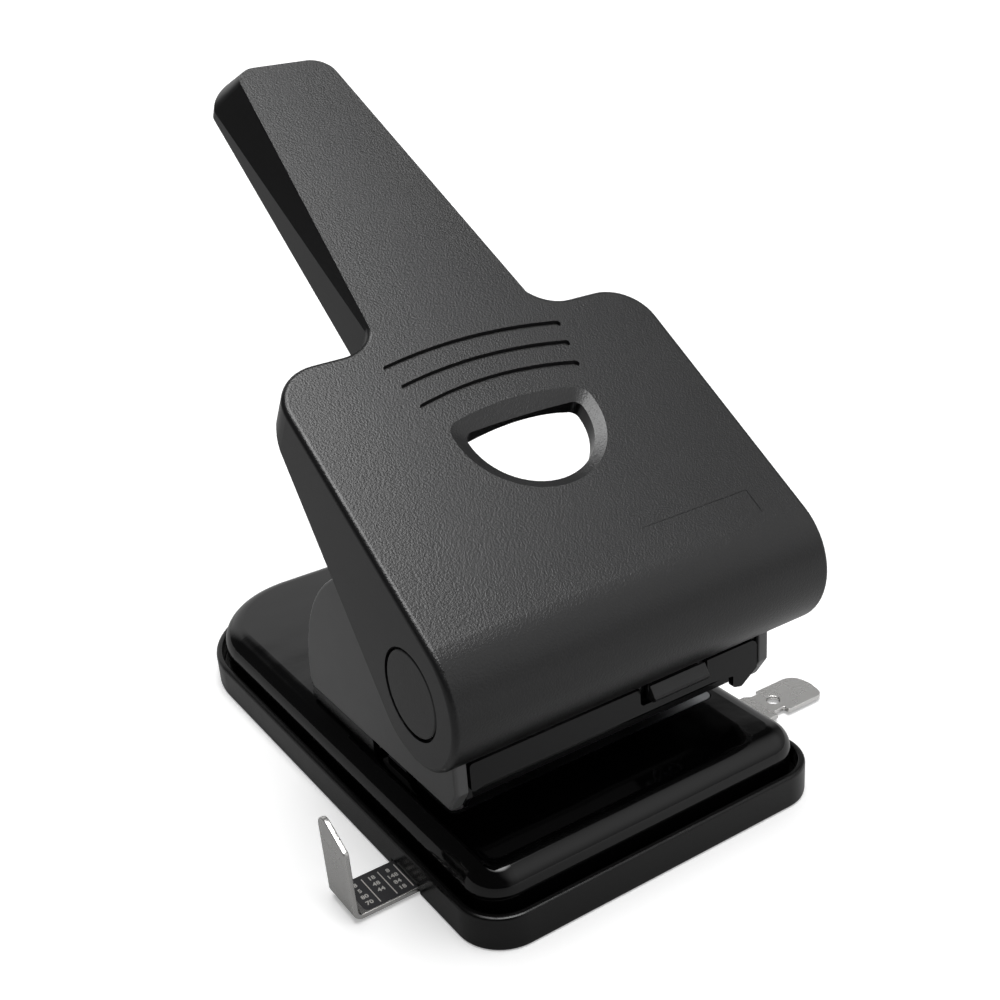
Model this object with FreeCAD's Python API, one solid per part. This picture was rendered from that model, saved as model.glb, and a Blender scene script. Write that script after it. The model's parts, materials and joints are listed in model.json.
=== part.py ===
"""Two-hole desk punch: pressed base in a chip tray, steel frame, long hand lever and paper guide.

Frame: origin on the table under the middle of the tray, +X to the user's right, +Y away from the
user, +Z up, millimetres. The lever stands raised, as it rests when no paper is being punched.
Lever pieces are drawn flat, with u along the lever (to +Y) and v square to its top face (to +Z),
the pivot at the origin, and are then swung up and moved to the pivot.
"""
import FreeCAD
import Part

import math
import os

# Chip tray: the black plastic pan that the punch stands in
TRAY_HALF_WIDTH = 63.0
TRAY_HALF_DEPTH = 108.0
TRAY_HEIGHT = 11.2
TRAY_FRONT_CORNER = 14.5
TRAY_REAR_CORNER = 40.5
TRAY_LIP = 2.3
TRAY_LEDGE = 7.0
TRAY_LEDGE_Z = 5.0
TRAY_FLOOR = 2.0

# Base: pressed steel shell that sits on the tray's ledge
BASE_HALF_WIDTH = 59.2
BASE_FRONT_Y = -103.2
BASE_REAR_Y = 103.0
BASE_TOP_Z = 22.0
BASE_FRONT_CORNER = 11.0
BASE_REAR_CORNER = 36.5
BASE_ROLL = 7.5
BASE_SHEET = 1.5

# Lever pivot and swing
PIVOT_Y = -83.6
PIVOT_Z = 74.9
LEVER_RAISED = 33.3
LEVER_SWING = 34.0
SHAFT_R = 4.0
RUNNING = 0.05

# Punching gear: two 6 mm holes, 80 mm apart and 12 mm in from the sheet's edge
HOLE_SPACING = 80.0
HOLE_EDGE = 12.0
PUNCH_R = 3.0
DRIVE_ARM = 24.0
DRIVE_PIN_R = 4.0
SLOT_TOP_Z = 30.0
PUNCH_TIP_Z = 31.3
CROSSHEAD_Z = 64.0
CROSSHEAD_PLATE = 5.0
CROSSHEAD_HALF = 44.8

# Steel frame: a U of 2 mm sheet, with covers outside it and a wall across its front
FRAME_IN = 51.0
FRAME_OUT = 53.0
WALL_FRONT_Y = -88.75
WALL_SHEET = 2.0
WALL_BOTTOM_Z = 42.0
WALL_TOP_Z = 50.0
FOOT_FRONT_Y = -31.0
FOOT_REAR_Y = 11.0
COVER_OUT = 57.1
COVER_ARC_Y = -51.2
COVER_ARC_Z = 36.5
COVER_ARC_R = 53.4
BOSS_R = 17.0

# Lever cover: moulded shell, wide over the frame and narrow along the handle
LEVER_HALF_WIDTH = 65.0
NOSE_R = 22.0
SHOULDER_U = 95.6
HANDLE_TOP_ROOT = 28.2
HANDLE_TOP_TIP = 17.1
HANDLE_TIP_U = 222.0
HANDLE_LOW_ROOT = 28.6
HANDLE_LOW_TIP = 22.0
HANDLE_LOW_TIP_U = 228.0
SKIN = 2.5
CAP_R = 13.3

# Lever arm: steel channel under the cover
ARM_OUT = 47.5
ARM_SHEET = 2.0
ARM_TOP_V = 16.5

# Paper guide: nickel-plated strip that slides under the tray
GUIDE_FRONT_Y = -71.0
GUIDE_WIDTH = 15.6
GUIDE_Z = 0.8
GUIDE_SHEET = 1.6
GUIDE_TAB_X = -82.4
GUIDE_BEND_R = 1.4
GUIDE_TIP_X = 101.7

# Worked out from the above
SWING_HALF = math.radians(LEVER_SWING / 2)
PUNCH_Y = PIVOT_Y + DRIVE_ARM * (1 + math.cos(SWING_HALF)) / 2
PUNCH_X = HOLE_SPACING / 2
STOP_Y = PUNCH_Y + HOLE_EDGE
DRIVE_Y = PIVOT_Y + DRIVE_ARM * math.cos(SWING_HALF)
DRIVE_Z = PIVOT_Z + DRIVE_ARM * math.sin(SWING_HALF)
INNER_TOP_V = NOSE_R - SKIN
GUIDE_REAR_Y = GUIDE_FRONT_Y + GUIDE_WIDTH


def vec(x, y, z):
    return FreeCAD.Vector(x, y, z)


def plan(z):
    """Map (x, y) of an outline to a level plane at height z."""
    return lambda a, b: vec(a, b, z)


def side(x):
    """Map (y, z) of an outline to an upright plane at x."""
    return lambda a, b: vec(x, a, b)


def box(x0, x1, y0, y1, z0, z1):
    return Part.makeBox(x1 - x0, y1 - y0, z1 - z0, vec(x0, y0, z0))


def rod_x(y, z, r, x0, x1):
    return Part.makeCylinder(r, x1 - x0, vec(x0, y, z), vec(1, 0, 0))


def rod_z(x, y, r, z0, z1):
    return Part.makeCylinder(r, z1 - z0, vec(x, y, z0), vec(0, 0, 1))


def rounded(corners, place):
    """Closed wire through (a, b, radius) corners, each one rounded by its own arc."""
    edges = []
    ends = []
    count = len(corners)
    for i, (a, b, r) in enumerate(corners):
        here = vec(a, b, 0)
        back = (vec(*corners[i - 1][:2], 0) - here).normalize()
        ahead = (vec(*corners[(i + 1) % count][:2], 0) - here).normalize()
        half = back.getAngle(ahead) / 2
        cut = r / math.tan(half) if r else 0.0
        middle = here + (back + ahead).normalize() * (r / math.sin(half) - r) if r else here
        ends.append((here + back * cut, middle, here + ahead * cut, r))
    for i, (start, middle, end, r) in enumerate(ends):
        if r:
            edges.append(Part.Arc(*[place(p.x, p.y) for p in (start, middle, end)]).toShape())
        after = ends[(i + 1) % count][0]
        if (after - end).Length > 1e-6:
            edges.append(Part.LineSegment(place(end.x, end.y), place(after.x, after.y)).toShape())
    return Part.Wire(edges)


def slab(wire, direction):
    return Part.Face(wire).extrude(direction)


def on_circle(centre, r, degrees):
    turn = math.radians(degrees)
    return (centre[0] + r * math.cos(turn), centre[1] + r * math.sin(turn))


def trace(start, steps, place):
    """Closed wire from a start point and steps: (end,) for a line, (via, end) for an arc."""
    edges = []
    here = start
    for step in steps + [(start,)]:
        end = step[-1]
        if math.dist(here, end) < 1e-6:
            continue
        if len(step) == 1:
            edges.append(Part.LineSegment(place(*here), place(*end)).toShape())
        else:
            edges.append(Part.Arc(place(*here), place(*step[0]), place(*end)).toShape())
        here = end
    return Part.Wire(edges)


def fuse(shapes):
    joined = shapes[0].multiFuse(shapes[1:]) if len(shapes) > 1 else shapes[0]
    return joined.removeSplitter()


def cut(shape, tools):
    for tool in tools:
        shape = shape.cut(tool)
    return shape


def mirrored(shape):
    return shape.mirror(vec(0, 0, 0), vec(1, 0, 0))


def both_sides(shape):
    return Part.makeCompound([shape, mirrored(shape)])


def edges_where(shape, test):
    return [edge for edge in shape.Edges if test(edge.BoundBox)]


def level(edge_box, z):
    return abs(edge_box.ZMin - z) < 1e-3 and abs(edge_box.ZMax - z) < 1e-3


def raise_lever(shape):
    """Swing a piece drawn flat up to the raised lever's angle and move it to the pivot."""
    placed = shape.copy()
    placed.rotate(vec(0, 0, 0), vec(1, 0, 0), LEVER_RAISED)
    placed.translate(vec(0, PIVOT_Y, PIVOT_Z))
    return placed


def footprint(half_width, front_y, rear_y, front_r, rear_r, inset, z):
    """Outline of the tray and base in plan: small front corners and large rear ones."""
    x = half_width - inset
    front = front_y + inset
    rear = rear_y - inset
    near = front_r - inset
    far = rear_r - inset
    return rounded([(-x, front, near), (x, front, near), (x, rear, far), (-x, rear, far)], plan(z))


def tray_block(inset, z0, z1):
    wire = footprint(TRAY_HALF_WIDTH, -TRAY_HALF_DEPTH, TRAY_HALF_DEPTH,
                     TRAY_FRONT_CORNER, TRAY_REAR_CORNER, inset, z0)
    return slab(wire, vec(0, 0, z1 - z0))


CHANNEL_HALF = TRAY_HALF_WIDTH - TRAY_LEDGE
CHANNEL_TOP_Z = GUIDE_Z + GUIDE_SHEET + 0.3
CHANNEL_WALL = 1.8


def chip_tray():
    """Pan with a lip round the base, a ledge the base stands on and a slot for the guide's channel."""
    body = tray_block(0, 0, TRAY_HEIGHT)
    rim = edges_where(body, lambda b: level(b, TRAY_HEIGHT))
    foot = edges_where(body, lambda b: level(b, 0))
    body = body.makeChamfer(0.7, rim).makeChamfer(0.5, foot)
    body = cut(body, [tray_block(TRAY_LIP, TRAY_LEDGE_Z, TRAY_HEIGHT + 1),
                      tray_block(TRAY_LEDGE, TRAY_FLOOR, TRAY_HEIGHT)])
    slot = box(-CHANNEL_HALF, CHANNEL_HALF, GUIDE_FRONT_Y - 0.2 - CHANNEL_WALL,
               GUIDE_REAR_Y + 0.2 + CHANNEL_WALL, -1, TRAY_FLOOR + 1)
    through = box(-70, 70, GUIDE_FRONT_Y - 0.2, GUIDE_REAR_Y + 0.2, -1, CHANNEL_TOP_Z)
    return cut(body, [slot, through])


def guide_channel():
    """Inverted trough set in the tray's floor, with lugs that hold the guide up in it."""
    front = GUIDE_FRONT_Y - 0.2
    rear = GUIDE_REAR_Y + 0.2
    trough = box(-CHANNEL_HALF, CHANNEL_HALF, front - CHANNEL_WALL, rear + CHANNEL_WALL,
                 0, CHANNEL_TOP_Z + CHANNEL_WALL)
    ridges = edges_where(trough, lambda b: level(b, CHANNEL_TOP_Z + CHANNEL_WALL) and b.XLength > 50)
    trough = trough.makeChamfer(0.8, ridges)
    trough = trough.cut(box(-70, 70, front, rear, -1, CHANNEL_TOP_Z))
    lugs = []
    for x in (-52, -20, 20, 52):
        for y in (front - 0.4, rear - 1.6):
            lugs.append(box(x - 3, x + 3, y, y + 2.0, 0, GUIDE_Z - 0.2))
    return fuse([trough] + lugs)


def base_block(inset, z0):
    """Solid of the base's outer form, or of its inside at the sheet's inset."""
    wire = footprint(BASE_HALF_WIDTH, BASE_FRONT_Y, BASE_REAR_Y,
                     BASE_FRONT_CORNER, BASE_REAR_CORNER, inset, z0)
    top = BASE_TOP_Z - inset
    block = slab(wire, vec(0, 0, top - z0))
    return block.makeFillet(BASE_ROLL - inset, edges_where(block, lambda b: level(b, top)))


DIE_HALF_LENGTH = 49.7
DIE_HALF_WIDTH = 11.4
DIE_THICK = 2.5
DIE_RIVET_X = 20.0
FRAME_RIVETS = [(38.0, FOOT_FRONT_Y + 9), (38.0, FOOT_REAR_Y - 9)]
STOP_RIVETS = [(25.0, STOP_Y + 8.0)]
RIVET_R = 2.0


def die_outline(grow, z):
    x = DIE_HALF_LENGTH + grow
    y = DIE_HALF_WIDTH + grow
    corners = [(-x, PUNCH_Y - y, 3), (x, PUNCH_Y - y, 3), (x, PUNCH_Y + y, 3), (-x, PUNCH_Y + y, 3)]
    return rounded(corners, plan(z))


def base_plate():
    """Pressed shell with rolled edges and a pocket that the die plate lies in."""
    shell = base_block(0, TRAY_LEDGE_Z).cut(base_block(BASE_SHEET, TRAY_LEDGE_Z - 1))
    pocket_z = BASE_TOP_Z - DIE_THICK
    well = slab(die_outline(0.3 + BASE_SHEET, pocket_z - BASE_SHEET),
                vec(0, 0, DIE_THICK + BASE_SHEET - 0.1))
    shell = fuse([shell, well]).cut(slab(die_outline(0.3, pocket_z), vec(0, 0, 5)))
    holes = [rod_z(s * PUNCH_X, PUNCH_Y, PUNCH_R + 0.8, 10, 30) for s in (-1, 1)]
    for x, y in FRAME_RIVETS + STOP_RIVETS:
        holes += [rod_z(s * x, y, RIVET_R + 0.02, 15, 30) for s in (-1, 1)]
    holes += [rod_z(s * DIE_RIVET_X, PUNCH_Y, RIVET_R + 0.02, 15, 30) for s in (-1, 1)]
    return cut(shell, holes)


def die_plate():
    """Hardened strip, flush with the base, with the two cutting holes."""
    plate = slab(die_outline(0, BASE_TOP_Z - DIE_THICK), vec(0, 0, DIE_THICK))
    for s in (-1, 1):
        plate = plate.cut(rod_z(s * PUNCH_X, PUNCH_Y, PUNCH_R + 0.04, 10, 30))
        plate = plate.cut(rod_z(s * DIE_RIVET_X, PUNCH_Y, RIVET_R + 0.02, 10, 30))
        cone = Part.makeCone(RIVET_R, RIVET_R + 1.8, 1.8,
                             vec(s * DIE_RIVET_X, PUNCH_Y, BASE_TOP_Z - 1.78))
        plate = plate.cut(cone)
    return plate


def die_rivets():
    """Countersunk rivets that hold the die plate in its pocket."""
    under = BASE_TOP_Z - DIE_THICK - BASE_SHEET
    rivets = []
    for s in (-1, 1):
        x = s * DIE_RIVET_X
        head = Part.makeCone(RIVET_R, RIVET_R + 1.7, 1.7, vec(x, PUNCH_Y, BASE_TOP_Z - 1.75))
        shank = rod_z(x, PUNCH_Y, RIVET_R, under - 0.1, BASE_TOP_Z - 1.0)
        tail = Part.makeCone(RIVET_R + 1.2, RIVET_R + 0.4, 1.2, vec(x, PUNCH_Y, under - 1.2))
        rivets.append(fuse([head, shank, tail]))
    return Part.makeCompound(rivets)


def dome_rivet(x, y, z_top, z_under):
    """Rivet with a raised head above z_top and a flat tail below z_under."""
    head = fuse([rod_z(x, y, 3.4, z_top, z_top + 0.9),
                 Part.makeCone(3.4, 1.8, 0.8, vec(x, y, z_top + 0.9))])
    shank = rod_z(x, y, RIVET_R, z_under - 0.1, z_top + 0.1)
    tail = rod_z(x, y, RIVET_R + 1.3, z_under - 1.1, z_under)
    return fuse([head, shank, tail])


def base_rivets():
    """Rivets that hold the frame and the paper stop to the base."""
    under = BASE_TOP_Z - BASE_SHEET
    rivets = [dome_rivet(s * x, y, BASE_TOP_Z + 2.0, under) for x, y in FRAME_RIVETS for s in (-1, 1)]
    rivets += [dome_rivet(s * x, y, BASE_TOP_Z + 1.5, under) for x, y in STOP_RIVETS for s in (-1, 1)]
    return Part.makeCompound(rivets)


def paper_stop():
    """Angle strip whose upright lip sets the holes 12 mm in from the sheet's edge."""
    lip = box(-50.5, 50.5, STOP_Y, STOP_Y + 1.5, BASE_TOP_Z, SLOT_TOP_Z - 0.1)
    foot = box(-50.5, 50.5, STOP_Y, STOP_Y + 13, BASE_TOP_Z, BASE_TOP_Z + 1.5)
    angle = fuse([lip, foot])
    for x, y in STOP_RIVETS:
        angle = cut(angle, [rod_z(s * x, y, RIVET_R + 0.02, 15, 30) for s in (-1, 1)])
    return angle


def tangent_angle(c1, r1, c2, r2):
    """Direction, in degrees, of the radii to the upper outer tangent of two circles."""
    line = math.atan2(c2[1] - c1[1], c2[0] - c1[0])
    return math.degrees(line + math.acos((r1 - r2) / math.dist(c1, c2)))


def hood_steps(boss_r, arc_r):
    """Arc over the pivot boss, the tangent from it, and the arc down the rear to its far side."""
    boss = (PIVOT_Y, PIVOT_Z)
    arc = (COVER_ARC_Y, COVER_ARC_Z)
    turn = tangent_angle(boss, boss_r, arc, arc_r)
    return [(on_circle(boss, boss_r, 180), on_circle(boss, boss_r, turn)),
            (on_circle(arc, arc_r, turn),),
            (on_circle(arc, arc_r, turn / 2), on_circle(arc, arc_r, 0))]


def nose_clearance(front_y, boss_r, inset):
    """Steps from the upright front edge round the lever's nose and in to the pivot boss."""
    boss = (PIVOT_Y, PIVOT_Z)
    r = NOSE_R + 0.5 + inset
    start = math.degrees(math.asin((boss[0] - front_y) / r)) + 90
    end = 95.0 - 3.5 * inset
    return [(on_circle(boss, r, -start),),
            (on_circle(boss, r, -(start + end) / 2), on_circle(boss, r, -end)),
            (on_circle(boss, boss_r, -end),)]


SIDE_RIVETS = [(-61.0, 39.5), (-52.0, 39.5), (-77.0, 46.0)]
COVER_SCREWS = [(-13.0, 50.0), (-38.0, 80.0), (-65.0, 57.0)]
STOP_PIN_RADIUS = 12.5
STOP_PIN_ANGLE = -115.0
STOP_PIN_R = 2.0


def frame_bracket():
    """U of steel sheet: two side plates on a foot, with the paper slot under their front half."""
    front = WALL_FRONT_Y + WALL_SHEET
    arc_r = COVER_ARC_R - 0.8
    start = (-79.4, SLOT_TOP_Z)
    steps = [((-83.8, 33.2),), ((front, 37.8),)] + nose_clearance(front, BOSS_R, 0)
    steps += hood_steps(BOSS_R, arc_r)
    steps += [((COVER_ARC_Y + arc_r, 34.0),), ((FOOT_REAR_Y, 29.0),), ((FOOT_REAR_Y, BASE_TOP_Z),),
              ((FOOT_FRONT_Y, BASE_TOP_Z),), ((FOOT_FRONT_Y, SLOT_TOP_Z),)]
    plate = slab(trace(start, steps, side(FRAME_IN)), vec(FRAME_OUT - FRAME_IN, 0, 0))
    holes = [rod_x(PIVOT_Y, PIVOT_Z, SHAFT_R + 0.02, 40, 60)]
    stop = on_circle((PIVOT_Y, PIVOT_Z), STOP_PIN_RADIUS, STOP_PIN_ANGLE)
    holes.append(rod_x(*stop, STOP_PIN_R + 0.02, 40, 60))
    holes += [rod_x(y, z, RIVET_R + 0.02, 40, 60) for y, z in SIDE_RIVETS]
    holes += [rod_x(y, z, 1.6, 40, 60) for y, z in COVER_SCREWS]
    plate = cut(plate, holes)
    web = box(-FRAME_IN - 0.5, FRAME_IN + 0.5, FOOT_FRONT_Y, FOOT_REAR_Y, BASE_TOP_Z, BASE_TOP_Z + 2)
    bracket = fuse([plate, mirrored(plate), web])
    bends = edges_where(bracket, lambda b: level(b, BASE_TOP_Z) and b.YLength > 30)
    inner = edges_where(bracket, lambda b: level(b, BASE_TOP_Z + 2) and b.YLength > 30)
    bracket = bracket.makeFillet(1.6, bends).makeFillet(1.0, inner)
    for x, y in FRAME_RIVETS:
        bracket = cut(bracket, [rod_z(s * x, y, RIVET_R + 0.02, 15, 30) for s in (-1, 1)])
    return bracket


def side_cover():
    """Hollow moulding outside the right frame plate: a skin with a rim and three screw posts."""
    def outline(inset, x):
        lower = (-84.0 + inset, 34.0 + inset)
        upper = (WALL_FRONT_Y + inset, 41.4)
        steps = [(upper,)] + nose_clearance(upper[0], BOSS_R - inset, inset)
        steps += hood_steps(BOSS_R - inset, COVER_ARC_R - inset)
        steps += [((-0.3 - inset * 0.6, 33.8 + inset),)]
        return trace(lower, steps, side(x))

    cover = slab(outline(0, FRAME_OUT), vec(COVER_OUT - FRAME_OUT, 0, 0))
    outer = edges_where(cover, lambda b: b.XMin > COVER_OUT - 1e-3)
    cover = cover.makeChamfer(0.7, outer)
    cover = cover.cut(slab(outline(1.6, FRAME_OUT - 1), vec(COVER_OUT - FRAME_OUT - 0.5, 0, 0)))
    posts = [rod_x(y, z, 4.0, FRAME_OUT, COVER_OUT - 1) for y, z in COVER_SCREWS]
    collar = rod_x(PIVOT_Y, PIVOT_Z, 8.0, FRAME_OUT, COVER_OUT - 1)
    cover = fuse([cover, collar] + posts)
    holes = [rod_x(y, z, 1.52, FRAME_OUT - 1, COVER_OUT - 1.2) for y, z in COVER_SCREWS]
    return cut(cover, holes + [rod_x(PIVOT_Y, PIVOT_Z, SHAFT_R + 0.2, 50, 60)])


def side_cover_screws():
    """Screws put in from inside the frame, three to each side cover."""
    screws = []
    for y, z in COVER_SCREWS:
        head = rod_x(y, z, 2.9, FRAME_IN - 1.7, FRAME_IN)
        head = head.makeChamfer(0.7, edges_where(head, lambda b: b.XMax < FRAME_IN - 1.6))
        cross = fuse([box(45, FRAME_IN - 1.1, y - 1.6, y + 1.6, z - 0.35, z + 0.35),
                      box(45, FRAME_IN - 1.1, y - 0.35, y + 0.35, z - 1.6, z + 1.6)])
        shank = rod_x(y, z, 1.5, FRAME_IN - 0.1, COVER_OUT - 1.6)
        screws.append(fuse([head, shank]).cut(cross))
    return Part.makeCompound(screws + [mirrored(screw) for screw in screws])


NOTCH_X = (6.6, 32.2)
NOTCH_Z = 44.2


def front_wall():
    """Black plate across the front with a notch for the latch and a flange on each side plate."""
    rear = WALL_FRONT_Y + WALL_SHEET
    half = FRAME_OUT - 0.8
    tab = [(34.0, WALL_BOTTOM_Z - 0.5, 12), (42.6, WALL_BOTTOM_Z - 1.6, 0.6), (42.4, 36.4, 1.2), (45.9, 35.5, 1.0),
           (half, 39.9, 0.8)]
    corners = [(-half, WALL_BOTTOM_Z - 1.2, 1), (-half + 4.2, WALL_BOTTOM_Z - 0.3, 4)] + tab
    corners += [(half, WALL_TOP_Z, 2.6), (-half, WALL_TOP_Z, 1.2)]
    wall = slab(rounded(corners, lambda a, b: vec(a, WALL_FRONT_Y, b)), vec(0, WALL_SHEET, 0))
    notch = [(NOTCH_X[0], NOTCH_Z, 1.5), (NOTCH_X[1], NOTCH_Z, 1.5),
             (NOTCH_X[1], WALL_TOP_Z + 3, 0), (NOTCH_X[0], WALL_TOP_Z + 3, 0)]
    wall = wall.cut(slab(rounded(notch, lambda a, b: vec(a, WALL_FRONT_Y - 1, b)), vec(0, 5, 0)))
    y, z = SIDE_RIVETS[2]
    flange = box(FRAME_IN - 2, FRAME_IN, rear - 0.5, y + 5, WALL_BOTTOM_Z, WALL_TOP_Z)
    flange = flange.cut(rod_x(y, z, RIVET_R + 0.02, 40, 60))
    return fuse([wall, flange, mirrored(flange)])


def side_rivets():
    """Rivets through the side plates into the punch guide and the front wall's flanges."""
    rivets = []
    for y, z in SIDE_RIVETS:
        shank = rod_x(y, z, RIVET_R, FRAME_IN - 2.1, FRAME_OUT + 0.1)
        inner = rod_x(y, z, RIVET_R + 1.2, FRAME_IN - 3.0, FRAME_IN - 2.0)
        outer = rod_x(y, z, RIVET_R + 1.2, FRAME_OUT, FRAME_OUT + 1.0)
        rivets.append(fuse([shank, inner, outer]))
    return Part.makeCompound(rivets + [mirrored(rivet) for rivet in rivets])


LATCH_X = (11.1, 29.5)
LATCH_TRAVEL = 4.4
FINGER_X = (12.0, 15.5)
CATCH_X = (7.0, 9.6)


def latch_slider():
    """Storage latch: thumb tab in front, a tongue through the notch and a finger behind."""
    front = WALL_FRONT_Y
    rear = WALL_FRONT_Y + WALL_SHEET
    width = vec(LATCH_X[1] - LATCH_X[0], 0, 0)
    tab = [(front - 0.1, 51.6, 0), (front - 4.6, 50.4, 0.5), (front - 4.4, 47.2, 0.6), (front - 0.1, 46.4, 0)]
    tab = slab(rounded(tab, side(LATCH_X[0])), width)
    tongue = box(LATCH_X[0] + 0.3, LATCH_X[1] - 0.3, front - 0.3, rear + 0.3, NOTCH_Z + 2.0, WALL_TOP_Z)
    plate = box(LATCH_X[0], LATCH_X[1] + 3, rear + 0.1, rear + 1.6, WALL_BOTTOM_Z + 0.5, 51.4)
    bridge = box(*FINGER_X, rear + 0.5, PIVOT_Y + 2.6, 49.4, 51.4)
    finger = box(*FINGER_X, PIVOT_Y + 0.9, PIVOT_Y + 2.6, 50, 58.5)
    return fuse([tab, tongue, plate, bridge, finger])


def latch_keeper():
    """Strip behind the front wall that holds the latch in its notch."""
    rear = WALL_FRONT_Y + WALL_SHEET
    bridge = box(0.5, 41.5, rear + 1.8, rear + 2.8, WALL_BOTTOM_Z + 1.5, WALL_BOTTOM_Z + 6.5)
    pads = [box(x, x + 4.5, rear, rear + 2.0, WALL_BOTTOM_Z + 1.5, WALL_BOTTOM_Z + 6.5) for x in (0.5, 37.0)]
    return fuse([bridge] + pads)


GUIDE_BOSS_Z = 38.0


def punch_guide():
    """Plate over the paper slot with a long guide bore for each punch and upturned ends."""
    front = -79.0
    plate = box(-FRAME_IN + 0.02, FRAME_IN - 0.02, front, STOP_Y, SLOT_TOP_Z, SLOT_TOP_Z + 3)
    lip = edges_where(plate, lambda b: level(b, SLOT_TOP_Z) and b.YMax < front + 0.1)
    plate = plate.makeChamfer(1.2, lip)
    ends = box(FRAME_IN - 2, FRAME_IN - 0.02, -66.0, STOP_Y, SLOT_TOP_Z, GUIDE_BOSS_Z + 6)
    for y, z in SIDE_RIVETS[:2]:
        ends = ends.cut(rod_x(y, z, RIVET_R + 0.02, 40, 60))
    bosses = [rod_z(s * PUNCH_X, PUNCH_Y, 8.0, SLOT_TOP_Z + 1, GUIDE_BOSS_Z) for s in (-1, 1)]
    rib = box(-PUNCH_X, PUNCH_X, PUNCH_Y - 1.5, PUNCH_Y + 1.5, SLOT_TOP_Z + 1, GUIDE_BOSS_Z - 1)
    guide = fuse([plate, ends, mirrored(ends), rib] + bosses)
    return cut(guide, [rod_z(s * PUNCH_X, PUNCH_Y, PUNCH_R + RUNNING, 20, 50) for s in (-1, 1)])


NECK_R = 2.2
CLIP_Z = CROSSHEAD_Z + CROSSHEAD_PLATE + 0.05


def punch_pin():
    """Right punch: hollow-ground cutting end, shoulder under the crosshead and a clip groove."""
    body = rod_z(PUNCH_X, PUNCH_Y, PUNCH_R, PUNCH_TIP_Z, CROSSHEAD_Z)
    hollow = Part.makeCylinder(5.0, 10, vec(PUNCH_X, PUNCH_Y - 5, PUNCH_TIP_Z - 4.0), vec(0, 1, 0))
    neck = rod_z(PUNCH_X, PUNCH_Y, NECK_R, CROSSHEAD_Z - 0.5, CLIP_Z + 2.4)
    groove = rod_z(PUNCH_X, PUNCH_Y, 4, CLIP_Z, CLIP_Z + 1.04).cut(
        rod_z(PUNCH_X, PUNCH_Y, NECK_R - 0.6, CLIP_Z - 1, CLIP_Z + 2))
    return fuse([body.cut(hollow), neck]).cut(groove)


def ring_clip(place, turn):
    """Open retaining ring, drawn flat about +Z with its gap to -Y, then turned and placed."""
    ring = rod_z(0, 0, 4.4, 0, 1.0).cut(rod_z(0, 0, 1.64, -1, 2))
    ring = ring.cut(box(-1.3, 1.3, -6, 0, -1, 2))
    ring.rotate(vec(0, 0, 0), vec(*turn[0]), turn[1])
    ring.translate(vec(*place))
    return ring


def punch_clips():
    flat = ((0, 0, 1), 0)
    return Part.makeCompound([ring_clip((s * PUNCH_X, PUNCH_Y, CLIP_Z + 0.02), flat) for s in (-1, 1)])


def crosshead():
    """Bar that drives both punches, with four slotted lugs that the lever's pin works in."""
    bar = box(-CROSSHEAD_HALF, CROSSHEAD_HALF, PUNCH_Y - 7, PUNCH_Y + 7,
              CROSSHEAD_Z, CROSSHEAD_Z + CROSSHEAD_PLATE)
    upright = edges_where(bar, lambda b: b.ZLength > CROSSHEAD_PLATE - 0.1)
    bar = bar.makeFillet(3.0, upright)
    play = DRIVE_ARM * (1 - math.cos(SWING_HALF)) / 2 + 0.15
    gap = DRIVE_PIN_R + 0.06
    top = DRIVE_Z + 6.5
    profile = [(PUNCH_Y - 7, CROSSHEAD_Z + 1, 0), (PUNCH_Y + 7, CROSSHEAD_Z + 1, 0),
               (PUNCH_Y + 7, top, 4.5), (PUNCH_Y - 7, top, 4.5)]
    slot = [(PUNCH_Y - play - gap, DRIVE_Z - gap, gap - 0.01), (PUNCH_Y + play + gap, DRIVE_Z - gap, gap - 0.01),
            (PUNCH_Y + play + gap, DRIVE_Z + gap, gap - 0.01), (PUNCH_Y - play - gap, DRIVE_Z + gap, gap - 0.01)]
    lugs = []
    for x in (-23.0, 20.0):
        lugs.append(slab(rounded(profile, side(x)), vec(3, 0, 0)))
    for x in (-32.0, 29.0):
        lugs.append(slab(rounded(profile, side(x)), vec(3, 0, 0)))
    head = fuse([bar] + lugs)
    head = head.cut(slab(rounded(slot, side(-60)), vec(120, 0, 0)))
    return cut(head, [rod_z(s * PUNCH_X, PUNCH_Y, NECK_R + 0.03, 50, 75) for s in (-1, 1)])


SPRING_WIRE = 0.55
SPRING_MEAN = 4.6
SPRING_TURNS = 6


def return_spring():
    """Right return spring, round the punch between its guide and the crosshead."""
    low = GUIDE_BOSS_Z + SPRING_WIRE + 0.05
    high = CROSSHEAD_Z - SPRING_WIRE - 0.05
    per_turn = 12
    steps = SPRING_TURNS * per_turn
    sections = []
    for i in range(steps + 1):
        turn = 2 * math.pi * i / per_turn
        z = low + (high - low) * i / steps
        ring = []
        for k in range(6):
            about = math.radians(60 * k + 30)
            r = SPRING_MEAN + SPRING_WIRE * math.cos(about)
            ring.append(vec(PUNCH_X + r * math.cos(turn), PUNCH_Y + r * math.sin(turn),
                            z + SPRING_WIRE * math.sin(about)))
        sections.append(Part.makePolygon(ring + ring[:1]))
    return Part.makeLoft(sections, True, True)


def pivot_shaft():
    """Steel shaft across the frame, grooved for a clip outside each side cover."""
    shaft = rod_x(PIVOT_Y, PIVOT_Z, SHAFT_R, -61.4, 61.4)
    shaft = shaft.makeChamfer(0.6, [e for e in shaft.Edges if e.BoundBox.XLength < 1e-3])
    groove = rod_x(PIVOT_Y, PIVOT_Z, 6, 57.4, 58.44).cut(rod_x(PIVOT_Y, PIVOT_Z, SHAFT_R - 0.6, 57, 59))
    return cut(shaft, [groove, mirrored(groove)])


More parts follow.
